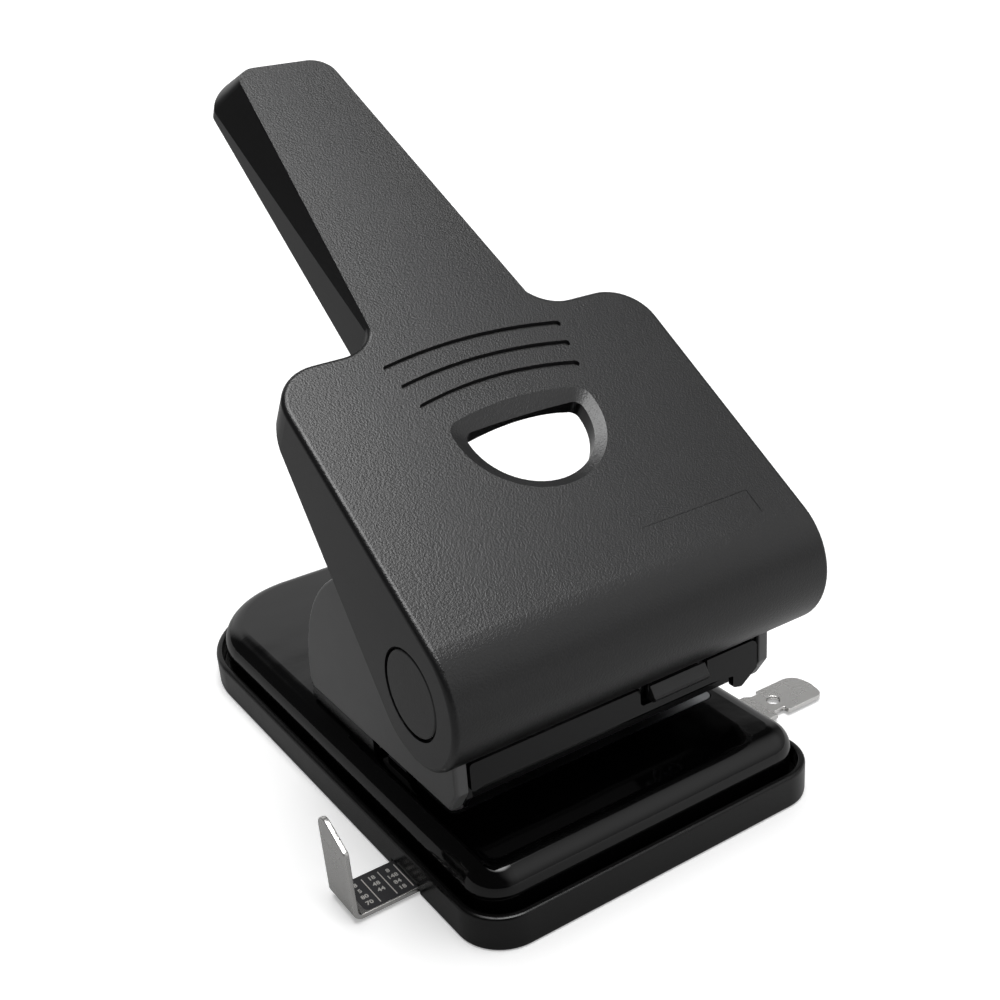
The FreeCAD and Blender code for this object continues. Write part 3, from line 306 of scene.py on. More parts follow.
class EffectShelf:
    """Makes each shared effect once and places it in materials."""

    def __init__(self) -> None:
        """Build every group."""
        self.groups: dict[Effect, bpy.types.NodeTree] = {
            Effect.GRAIN: self._grain(),
            Effect.PEEL: self._peel(),
            Effect.SMUDGE: self._smudge(),
            Effect.BRUSH: self._brush(),
            Effect.DUST: self._dust(),
        }

    @staticmethod
    def _group(effect: Effect, inputs: dict[str, float],
               outputs: Sequence[str]) -> tuple[Sheet, bpy.types.Node, bpy.types.Node]:
        """Make an empty group with number sockets.

        Args:
            effect: the effect it is for.
            inputs: input names and their starting values.
            outputs: output names.

        Returns:
            The sheet, its input node and its output node.
        """
        tree = bpy.data.node_groups.new(effect.value, "ShaderNodeTree")
        for label, value in inputs.items():
            socket = tree.interface.new_socket(label, in_out="INPUT", socket_type="NodeSocketFloat")
            socket.default_value = value
        for label in outputs:
            tree.interface.new_socket(label, in_out="OUTPUT", socket_type="NodeSocketFloat")
        sheet = Sheet(tree)
        return sheet, sheet.add("NodeGroupInput"), sheet.add("NodeGroupOutput")

    def _grain(self) -> bpy.types.NodeTree:
        """Pebbled texture of an eroded mould: small smooth cells of uneven height.

        Returns:
            The group's tree, with outputs Height and Shade.
        """
        sheet, source, sink = self._group(Effect.GRAIN, {"Scale": 900.0, "Fine": 0.35}, ("Height", "Shade"))
        warp_reach, cell_softness, speck_ratio = 0.0007, 0.5, 2.2
        scale = source.outputs["Scale"]
        place = sheet.add("ShaderNodeTexCoord").outputs["Object"]
        warp = sheet.add("ShaderNodeTexNoise", in_Vector=place, in_Scale=scale, in_Detail=1.0)
        shift = sheet.add("ShaderNodeVectorMath", operation="SCALE", in_Scale=warp_reach)
        sheet.feed(shift, 0, warp.outputs["Color"])
        moved = sheet.add("ShaderNodeVectorMath", operation="ADD")
        sheet.feed(moved, 0, place)
        sheet.feed(moved, 1, shift.outputs[0])
        cells = sheet.add("ShaderNodeTexVoronoi", feature="SMOOTH_F1", in_Vector=moved.outputs[0],
                          in_Scale=scale, in_Smoothness=cell_softness)
        speck = sheet.add("ShaderNodeTexNoise", in_Vector=place, in_Detail=2.0,
                          in_Scale=sheet.maths("MULTIPLY", scale, speck_ratio))
        crown = sheet.maths("SUBTRACT", 1.0, cells.outputs["Distance"])
        fine = sheet.maths("MULTIPLY", speck.outputs["Fac"], source.outputs["Fine"])
        height = sheet.maths("ADD", crown, fine)
        sheet.feed(sink, "Height", height)
        sheet.feed(sink, "Shade", sheet.span(height, 0.45, 1.15, 0.0, 1.0))
        return sheet.tree

    def _peel(self) -> bpy.types.NodeTree:
        """Slow swells of pressed sheet and the finer waviness of sprayed enamel on it.

        Returns:
            The group's tree, with output Height.
        """
        sheet, source, sink = self._group(Effect.PEEL, {"Scale": 60.0, "Fine": 0.12}, ("Height",))
        fine_ratio = 9.0
        place = sheet.add("ShaderNodeTexCoord").outputs["Object"]
        swell = sheet.add("ShaderNodeTexNoise", in_Vector=place, in_Detail=1.0,
                          in_Scale=source.outputs["Scale"])
        fine = sheet.add("ShaderNodeTexNoise", in_Vector=place, in_Detail=1.0,
                         in_Scale=sheet.maths("MULTIPLY", source.outputs["Scale"], fine_ratio))
        height = sheet.maths("ADD", swell.outputs["Fac"],
                             sheet.maths("MULTIPLY", fine.outputs["Fac"], source.outputs["Fine"]))
        sheet.feed(sink, "Height", height)
        return sheet.tree

    def _smudge(self) -> bpy.types.NodeTree:
        """Large faint patches where hands and cloths have polished the surface.

        Returns:
            The group's tree, with output Value from 0 to 1.
        """
        sheet, source, sink = self._group(Effect.SMUDGE, {"Scale": 18.0, "Contrast": 0.5}, ("Value",))
        broad_share, small_ratio, full_swing = 0.7, 9.0, 4.0
        place = sheet.add("ShaderNodeTexCoord").outputs["Object"]
        broad = sheet.add("ShaderNodeTexNoise", in_Vector=place, in_Scale=source.outputs["Scale"],
                          in_Detail=4.0, in_Roughness=0.55, in_Distortion=0.6)
        small = sheet.add("ShaderNodeTexNoise", in_Vector=place, in_Detail=3.0,
                          in_Scale=sheet.maths("MULTIPLY", source.outputs["Scale"], small_ratio))
        mixed = sheet.maths("ADD", sheet.maths("MULTIPLY", broad.outputs["Fac"], broad_share),
                            sheet.maths("MULTIPLY", small.outputs["Fac"], 1.0 - broad_share))
        swing = sheet.maths("MULTIPLY", sheet.maths("SUBTRACT", mixed, 0.5),
                            sheet.maths("MULTIPLY", source.outputs["Contrast"], full_swing))
        sheet.feed(sink, "Value", sheet.maths("ADD", 0.5, swing))
        return sheet.tree

    def _brush(self) -> bpy.types.NodeTree:
        """Fine lines drawn along X, as left by rolling or a belt.

        Returns:
            The group's tree, with output Height.
        """
        sheet, source, sink = self._group(Effect.BRUSH, {"Stretch": 40.0, "Scale": 2400.0}, ("Height",))
        place = sheet.add("ShaderNodeTexCoord").outputs["Object"]
        split = sheet.add("ShaderNodeSeparateXYZ", in_Vector=place)
        along = sheet.maths("DIVIDE", split.outputs["X"], source.outputs["Stretch"])
        joined = sheet.add("ShaderNodeCombineXYZ", in_X=along, in_Y=split.outputs["Y"],
                           in_Z=split.outputs["Z"])
        lines = sheet.add("ShaderNodeTexNoise", in_Vector=joined.outputs[0], in_Detail=3.0, in_Roughness=0.6,
                          in_Scale=source.outputs["Scale"])
        sheet.feed(sink, "Height", lines.outputs["Fac"])
        return sheet.tree

    def _dust(self) -> bpy.types.NodeTree:
        """Sparse pale specks that lie on upward surfaces.

        Returns:
            The group's tree, with output Mask.
        """
        sheet, source, sink = self._group(Effect.DUST, {"Scale": 520.0, "Amount": 0.04}, ("Mask",))
        speck_core, speck_rim, patch_scale = 0.05, 0.16, 60.0
        place = sheet.add("ShaderNodeTexCoord").outputs["Object"]
        specks = sheet.add("ShaderNodeTexVoronoi", in_Vector=place, in_Scale=source.outputs["Scale"])
        close = sheet.span(specks.outputs["Distance"], speck_core, speck_rim, 1.0, 0.0)
        patch = sheet.add("ShaderNodeTexNoise", in_Vector=place, in_Scale=patch_scale, in_Detail=2.0)
        rare = sheet.span(patch.outputs["Fac"], 0.52, 0.7, 0.0, 1.0)
        normal = sheet.add("ShaderNodeNewGeometry").outputs["Normal"]
        up = sheet.add("ShaderNodeSeparateXYZ", in_Vector=normal)
        facing = sheet.span(up.outputs["Z"], 0.3, 0.9, 0.0, 1.0)
        mask = sheet.maths("MULTIPLY", sheet.maths("MULTIPLY", close, rare), facing)
        sheet.feed(sink, "Mask", sheet.maths("MULTIPLY", mask, source.outputs["Amount"]))
        return sheet.tree

    def place(self, sheet: Sheet, effect: Effect, **values: float) -> bpy.types.Node:
        """Put an effect into a material with its own values.

        Args:
            sheet: the material's sheet.
            effect: which effect.
            values: input values by name.

        Returns:
            The group node.
        """
        node = sheet.add("ShaderNodeGroup", node_tree=self.groups[effect])
        for name, value in values.items():
            node.inputs[name].default_value = value
        return node


@dataclass(frozen=True)
class Finish:
    """A plain surface: two close tones mixed by smudges. Colours are linear, depths in metres."""

    name: str
    colour: Colour
    shade: Colour
    roughness: tuple[float, float] = (0.4, 0.5)
    specular: float = 0.5
    metallic: float = 0.0
    smudge_scale: float = 18.0
    smudge_contrast: float = 0.5
    dust: float = 0.0

    def material(self, shelf: EffectShelf) -> bpy.types.Material:
        """Make the finish's material.

        Args:
            shelf: the shared effects.

        Returns:
            The material.
        """
        made = bpy.data.materials.new(self.name)
        made.use_nodes = True
        sheet = Sheet(made.node_tree)
        out = sheet.add("ShaderNodeOutputMaterial")
        skin = sheet.add("ShaderNodeBsdfPrincipled")
        skin.inputs["Metallic"].default_value = self.metallic
        skin.inputs["Specular IOR Level"].default_value = self.specular
        sheet.feed(out, "Surface", skin.outputs[0])
        smudge = shelf.place(sheet, Effect.SMUDGE, Scale=self.smudge_scale, Contrast=self.smudge_contrast)
        mask = smudge.outputs["Value"]
        depth, height, pattern = self.relief(sheet, shelf)
        tone = mask
        if pattern:
            patches = sheet.maths("MULTIPLY", mask, SMUDGE_SHARE)
            grains = sheet.maths("MULTIPLY", pattern, 1.0 - SMUDGE_SHARE)
            tone = sheet.maths("ADD", patches, grains)
        colour = sheet.blend(tone, (*self.colour, 1.0), (*self.shade, 1.0))
        if self.dust:
            speck = shelf.place(sheet, Effect.DUST, Amount=self.dust)
            colour = sheet.blend(speck.outputs["Mask"], colour, (0.55, 0.54, 0.52, 1.0))
        if depth:
            bump = sheet.add("ShaderNodeBump", in_Strength=1.0, in_Distance=depth, in_Height=height)
            sheet.feed(skin, "Normal", bump.outputs["Normal"])
        sheet.feed(skin, "Base Color", colour)
        sheet.feed(skin, "Roughness", self.polish(sheet, sheet.span(mask, 0.0, 1.0, *self.roughness)))
        return made

    def polish(self, sheet: Sheet, roughness: bpy.types.NodeSocket) -> bpy.types.NodeSocket:
        """Final roughness; the smudged one unless a finish says otherwise."""
        return roughness

    def relief(self, sheet: Sheet, shelf: EffectShelf) -> tuple[float, object, object]:
        """Depth, height socket and tone pattern of the surface; none on a plain one."""
        return 0.0, None, None


@dataclass(frozen=True)
class Moulding(Finish):
    """Plastic from a textured mould."""

    grain_scale: float = 1000.0
    grain_depth: float = 0.0001
    grain_fine: float = 0.35

    def relief(self, sheet: Sheet, shelf: EffectShelf) -> tuple[float, object, object]:
        """Depth, height socket and tone pattern of the mould's grain."""
        grain = shelf.place(sheet, Effect.GRAIN, Scale=self.grain_scale, Fine=self.grain_fine)
        return self.grain_depth, grain.outputs["Height"], grain.outputs["Shade"]


@dataclass(frozen=True)
class SmoothFlanked(Moulding):
    """Moulding whose grain fades out on the flanks that face left and right, as drawn from its mould."""

    flank_roughness: float = 0.30
    flank_grain: float = 0.12
    flank_starts: float = 0.45
    flank_full: float = 0.80

    def flank(self, sheet: Sheet) -> bpy.types.NodeSocket:
        """1 where the surface faces left or right, 0 on the top."""
        normal = sheet.add("ShaderNodeNewGeometry").outputs["Normal"]
        facing = sheet.add("ShaderNodeSeparateXYZ", in_Vector=normal)
        sideways = sheet.maths("ABSOLUTE", facing.outputs["X"])
        return sheet.span(sideways, self.flank_starts, self.flank_full, 0.0, 1.0, smooth=True)

    def relief(self, sheet: Sheet, shelf: EffectShelf) -> tuple[float, object, object]:
        """The mould's grain, faded out on the flanks."""
        depth, height, shade = super().relief(sheet, shelf)
        kept = sheet.span(self.flank(sheet), 0.0, 1.0, 1.0, self.flank_grain)
        return depth, sheet.maths("MULTIPLY", height, kept), shade

    def polish(self, sheet: Sheet, roughness: bpy.types.NodeSocket) -> bpy.types.NodeSocket:
        """Roughness that falls to the flank's own."""
        mixed = sheet.add("ShaderNodeMix", data_type="FLOAT")
        sheet.feed(mixed, 0, self.flank(sheet))
        sheet.feed(mixed, 2, roughness)
        sheet.feed(mixed, 3, self.flank_roughness)
        return mixed.outputs[0]


@dataclass(frozen=True)
class Enamel(Finish):
    """Sprayed enamel on sheet steel."""

    peel_scale: float = 60.0
    peel_depth: float = 0.00004
    peel_fine: float = 0.12

    def relief(self, sheet: Sheet, shelf: EffectShelf) -> tuple[float, object, object]:
        """Depth and height socket of the paint's waviness."""
        peel = shelf.place(sheet, Effect.PEEL, Scale=self.peel_scale, Fine=self.peel_fine)
        return self.peel_depth, peel.outputs["Height"], None


@dataclass(frozen=True)
class Plating(Finish):
    """Bare or plated metal with the lines of its rolling or grinding."""

    metallic: float = 1.0
    brush_scale: float = 2400.0
    brush_stretch: float = 40.0
    brush_depth: float = 0.00002

    def relief(self, sheet: Sheet, shelf: EffectShelf) -> tuple[float, object, object]:
        """Depth and height socket of the fine lines."""
        lines = shelf.place(sheet, Effect.BRUSH, Scale=self.brush_scale, Stretch=self.brush_stretch)
        return self.brush_depth, lines.outputs["Height"], lines.outputs["Height"]


FINISHES: dict[Slot, Finish] = {
    Slot.LEVER: SmoothFlanked("grained_black_moulding", (0.014, 0.014, 0.0145), (0.008, 0.008, 0.0085),
                              (0.28, 0.36), specular=0.58, dust=0.04, grain_scale=1700.0,
                              grain_depth=0.000055, grain_fine=0.5),
    Slot.TRAY: Moulding("black_tray_moulding", (0.004, 0.004, 0.004), (0.002, 0.002, 0.002), (0.18, 0.30),
                        specular=0.45, dust=0.05, grain_scale=2200.0, grain_depth=0.00001),
    Slot.CAP: Moulding("black_cap_moulding", (0.026, 0.026, 0.026), (0.019, 0.019, 0.019), (0.26, 0.34),
                       specular=0.5, grain_scale=1500.0, grain_depth=0.00002),
    Slot.LATCH: Moulding("black_latch_moulding", (0.014, 0.014, 0.015), (0.009, 0.009, 0.010), (0.30, 0.40),
                         specular=0.7, grain_scale=2000.0, grain_depth=0.00004),
    Slot.BUSH: Moulding("natural_bush_moulding", (0.72, 0.71, 0.67), (0.62, 0.61, 0.57), (0.40, 0.50),
                        grain_scale=2000.0, grain_depth=0.00002),
    Slot.BASE: Enamel("black_gloss_enamel", (0.0020, 0.0020, 0.0022), (0.0012, 0.0012, 0.0014), (0.04, 0.09),
                      smudge_scale=9.0, dust=0.04, peel_scale=42.0, peel_depth=0.00022, peel_fine=0.035),
    Slot.BLACK_STEEL: Enamel("black_satin_enamel", (0.005, 0.005, 0.006), (0.004, 0.004, 0.004), (0.16, 0.24),
                             specular=0.35, peel_scale=120.0, peel_depth=0.00003, peel_fine=0.3),
    Slot.GREY_COVER: Enamel("dark_grey_cover_paint", (0.158, 0.158, 0.159), (0.145, 0.145, 0.146),
                            (0.26, 0.34), peel_scale=150.0, peel_depth=0.00002, peel_fine=0.4),
    Slot.BARE_STEEL: Plating("zinc_plated_steel", (0.56, 0.57, 0.58), (0.44, 0.45, 0.47), (0.26, 0.38)),
    Slot.HARD_STEEL: Plating("ground_tool_steel", (0.50, 0.51, 0.53), (0.42, 0.43, 0.45), (0.18, 0.28),
                             brush_depth=0.00001),
    Slot.SPRING_STEEL: Plating("drawn_spring_wire", (0.46, 0.47, 0.49), (0.36, 0.37, 0.39), (0.24, 0.34),
                               brush_depth=0.00001),
    Slot.NICKEL: Plating("satin_nickel_plate", (0.97, 0.96, 0.94), (0.86, 0.85, 0.83), (0.22, 0.32),
                         brush_scale=1700.0, brush_stretch=1.6, brush_depth=0.00006),
}
FIELD_INK = Moulding("matt_black_ink", (0.030, 0.030, 0.033), (0.020, 0.020, 0.022), (0.45, 0.60),
                     grain_scale=2600.0, grain_depth=0.00004)
WHITE_INK = Moulding("matt_white_ink", (0.62, 0.61, 0.58), (0.40, 0.39, 0.37), (0.50, 0.60),
                     grain_scale=2600.0, grain_depth=0.00003)


@dataclass
class Workshop:
    """What every sub-assembly needs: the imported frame, the effects and the finished materials."""

    frame: dict
    shelf: EffectShelf = field(default_factory=EffectShelf)
    materials: dict[str, bpy.types.Material] = field(default_factory=dict)

    def finish(self, look: Finish) -> bpy.types.Material:
        """The material of a finish, made the first time it is asked for.

        Args:
            look: the finish.

        Returns:
            Its material.
        """
        if look.name not in self.materials:
            self.materials[look.name] = look.material(self.shelf)
        return self.materials[look.name]

    def slot_of(self, node: str) -> Slot:
        """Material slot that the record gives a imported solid."""
        entries = self.frame["record"]["subparts"]
        return next(Slot(entry["material_slot"]) for entry in entries if entry["node"] == node)

    def dress(self, *nodes: str) -> None:
        """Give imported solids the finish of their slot.

        Args:
            nodes: names of the solids.
        """
        for node in nodes:
            slot = self.slot_of(node)
            piece = self.frame["nodes"][node]
            piece.data.materials.clear()
            piece.data.materials.append(self.finish(FINISHES[slot]))
            LOG.info("%s: solid in %s", node, slot.value)

    def carry(self, piece: bpy.types.Object, body: Body) -> bpy.types.Object:
        """Put a new piece on its body.

        Args:
            piece: the piece.
            body: what it rides on.

        Returns:
            The piece.
        """
        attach(piece, body.value)
        LOG.info("%s: %d faces on %s", piece.name, len(piece.data.polygons), body.value)
        return piece

    def soften(self, node: str, body: Body, radius: float,
               reshape: Reshape | None = None) -> bpy.types.Object:
        """Stand a copy with rounded edges in a solid's place.

        Args:
            node: the solid's name.
            body: the body it belongs to.
            radius: size of the rounding, in millimetres.
            reshape: changes the merged copy before its edges are rounded.

        Returns:
            The new piece.
        """
        slot = self.slot_of(node)
        form = bmesh.new()
        form.from_mesh(self.frame["nodes"][node].data)
        bmesh.ops.remove_doubles(form, verts=form.verts, dist=MERGE_DISTANCE)
        bmesh.ops.dissolve_degenerate(form, edges=form.edges, dist=SLIVER_DISTANCE)
        bmesh.ops.dissolve_limit(form, angle_limit=FLAT, verts=form.verts, edges=form.edges, delimit=set())
        if reshape:
            reshape(form)
        for face in form.faces:
            face.smooth = True
        for line in form.edges:
            line.smooth = not CREASE < line.calc_face_angle(0.0) < ROUNDED
        mesh = bpy.data.meshes.new(node + "_blank")
        form.to_mesh(mesh)
        form.free()
        blank = stand(node + "_blank", mesh)
        edge = blank.modifiers.new("edge", "BEVEL")
        edge.width = radius * MM
        edge.segments = 2
        edge.limit_method = "ANGLE"
        edge.angle_limit = ROUNDED
        edge.use_clamp_overlap = False
        even = blank.modifiers.new("even", "WEIGHTED_NORMAL")
        even.weight = 90
        even.keep_sharp = True
        done = bpy.data.meshes.new_from_object(blank.evaluated_get(bpy.context.evaluated_depsgraph_get()))
        bpy.data.objects.remove(blank)
        done.materials.clear()
        done.materials.append(self.finish(FINISHES[slot]))
        piece = self.carry(stand(node + "_shell", done), body)
        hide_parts(node)
        return piece


# Sub-assemblies


@dataclass
class TrayAndBase:
    """Chip tray, the pressed base in it and what is fixed to the base."""

    lip_rounding: float = 0.5
    solids: tuple[str, ...] = ("guide_channel", "base_plate", "die_plate", "die_rivets", "base_rivets",
                               "paper_stop")

    def build(self, shop: Workshop) -> None:
        """Dress the solids and round the tray's lip."""
        shop.dress(*self.solids)
        shop.soften("chip_tray", Body.TRAY, self.lip_rounding)


@dataclass
class SideFrame:
    """Steel frame with its covers, front wall and storage latch. Millimetres."""

    cover_rounding: float = 0.5
    latch_rounding: float = 0.25
    wall_face: float = -88.75
    crest_back: float = 1.9
    crest_drop: float = 2.3
    chin_back: float = 0.6
    tab_left: float = 11.1
    tab_reach: float = 2.6
    tab_front: float = 3.5
    tab_crest: float = 49.0
    wall_crest: float = 51.3
    solids: tuple[str, ...] = ("frame_bracket", "side_cover_screws", "front_wall", "side_rivets",
                               "latch_keeper")

    def hone_latch(self, form: bmesh.types.BMesh) -> None:
        """Give the latch's thumb tab a steep top and an undercut chin.

        Args:
            form: the latch's merged mesh, changed in place.
        """
        for vert in form.verts:
            out = self.wall_face - vert.co.y / MM
            height = vert.co.z / MM
            if out > self.tab_front and height > self.tab_crest:
                vert.co.z -= self.crest_drop * MM
            elif out > self.tab_front:
                vert.co.y += self.chin_back * MM
                vert.co.z -= self.chin_back * MM
            elif out > 0.0 and height > self.wall_crest:
                vert.co.y -= self.crest_back * MM
            if out > 0.0 and vert.co.x / MM < self.tab_left + 0.1:
                vert.co.x -= self.tab_reach * MM

    def build(self, shop: Workshop) -> None:
        """Dress the solids and round the covers and the latch."""
        shop.dress(*self.solids)
        for side in ("left", "right"):
            shop.soften(f"side_cover_{side}", Body.BASE, self.cover_rounding)
        shop.soften("latch_slider", Body.LATCH, self.latch_rounding, self.hone_latch)


@dataclass
class ReturnSpring:
    """Coil round a punch, with one closed turn at each end. Millimetres."""

    punch_x: float
    punch_y: float = -60.124
    low: float = 38.05
    high: float = 63.95
    mean_radius: float = 4.6
    wire: float = 1.1
    open_turns: float = 5.0
    points_per_turn: float = 26.0
    wire_sides: int = 8
    pressed_share: float = 0.467

    def tree(self, material: bpy.types.Material) -> FormTree:
        """The tree that winds the coil.

        Args:
            material: its finish.

        Returns:
            The tree.
        """
        form = FormTree("wound_coil", {"Mean Radius": 0.0046, "Wire": 0.0011, "Length": 0.026, "Turns": 7.0,
                                       "Place X": 0.0, "Place Y": 0.0, "Place Z": 0.0})
        sheet = form.sheet
        line = sheet.add("GeometryNodeCurvePrimitiveLine")
        points = sheet.add("GeometryNodeResampleCurve", in_Curve=line.outputs[0])
        sheet.feed(points, "Count", sheet.maths("MULTIPLY", form.size("Turns"), self.points_per_turn))
        along = sheet.add("GeometryNodeSplineParameter").outputs["Factor"]
        angle = sheet.maths("MULTIPLY", sheet.maths("MULTIPLY", along, form.size("Turns")), 2 * math.pi)
        end = sheet.maths("DIVIDE", 1.0, form.size("Turns"))
        rise = sheet.add("ShaderNodeMapRange", in_Value=along)
        sheet.feed(rise, "From Min", end)
        sheet.feed(rise, "From Max", sheet.maths("SUBTRACT", 1.0, end))
        spare = sheet.maths("SUBTRACT", form.size("Length"), sheet.maths("MULTIPLY", form.size("Wire"), 3.0))
        closed = [sheet.add("ShaderNodeMapRange", in_Value=along) for _ in range(2)]
        sheet.feed(closed[0], "From Max", end)
        sheet.feed(closed[1], "From Min", sheet.maths("SUBTRACT", 1.0, end))
        height = sheet.maths("MULTIPLY", rise.outputs[0], spare)
        for turn in closed:
            height = sheet.maths("ADD", height, sheet.maths("MULTIPLY", turn.outputs[0], form.size("Wire")))
        height = sheet.maths("ADD", height, sheet.maths("MULTIPLY", form.size("Wire"), 0.5))
        spot = sheet.add("ShaderNodeCombineXYZ")
        turned = (("COSINE", "Place X"), ("SINE", "Place Y"))
        for axis, (wave, label) in enumerate(turned):
            reach = sheet.maths("MULTIPLY", sheet.maths(wave, angle), form.size("Mean Radius"))
            sheet.feed(spot, axis, sheet.maths("ADD", reach, form.size(label)))
        sheet.feed(spot, 2, sheet.maths("ADD", height, form.size("Place Z")))
        wound = sheet.add("GeometryNodeSetPosition", in_Geometry=points.outputs[0],
                          in_Position=spot.outputs[0])
        ring = sheet.add("GeometryNodeCurvePrimitiveCircle", in_Resolution=self.wire_sides)
        sheet.feed(ring, "Radius", sheet.maths("MULTIPLY", form.size("Wire"), 0.5))
        tube = sheet.add("GeometryNodeCurveToMesh", in_Curve=wound.outputs[0],
                         in_Profile_Curve=ring.outputs[0], in_Fill_Caps=True)
        form.close(tube.outputs[0], material)
        return form

    def build(self, shop: Workshop, name: str, node: str) -> None:
        """Wind the coil in place of the plain solid.

        Args:
            shop: the workshop.
            name: the piece's name.
            node: the solid that it stands for.
        """
        form = self.tree(shop.finish(FINISHES[Slot.SPRING_STEEL]))
        coil = form.make(name, Mean_Radius=self.mean_radius * MM, Wire=self.wire * MM,
                         Length=(self.high - self.low) * MM, Turns=self.open_turns + 2,
                         Place_X=self.punch_x * MM, Place_Y=self.punch_y * MM, Place_Z=self.low * MM)
        face_outwards(coil.data)
        coil.data.shade_smooth()
        shop.carry(coil, Body.BASE)
        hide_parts(node)
        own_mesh(coil)


def face_outwards(mesh: bpy.types.Mesh) -> None:
    """Merge doubles and turn every face of a closed mesh outwards.

    Args:
        mesh: the mesh, changed in place.
    """
    form = bmesh.new()
    form.from_mesh(mesh)
    bmesh.ops.remove_doubles(form, verts=form.verts, dist=1e-7)
    bmesh.ops.recalc_face_normals(form, faces=form.faces)
    form.to_mesh(mesh)
    form.free()


@dataclass
class PunchGear:
    """Two punches on a crosshead, their guide and the two return springs."""

    spacing: float = 80.0
    solids: tuple[str, ...] = ("punch_guide", "punch_left", "punch_right", "punch_clips", "crosshead",
                               "return_spring_left", "return_spring_right")

    def build(self, shop: Workshop) -> None:
        """Dress the solids and wind the springs."""
        shop.dress(*self.solids)
        for side, sign in (("left", -1), ("right", 1)):
            spring = ReturnSpring(sign * self.spacing / 2)
            spring.build(shop, f"coil_{side}", f"return_spring_{side}")


@dataclass
class HandLever:
    """Moulded lever on its steel arm, with the pivot and the drive pin. Millimetres."""

    cap_rounding: float = 0.25
    solids: tuple[str, ...] = ("lever_cover", "pivot_shaft", "shaft_clips", "shaft_bushes", "stop_pins",
                               "lever_arm", "lever_screws", "drive_pin", "drive_pin_clips")

    def build(self, shop: Workshop) -> None:
        """Dress the solids and round the pivot caps."""
        shop.dress(*self.solids)
        for side in ("left", "right"):
            shop.soften(f"pivot_cap_{side}", Body.LEVER, self.cap_rounding)


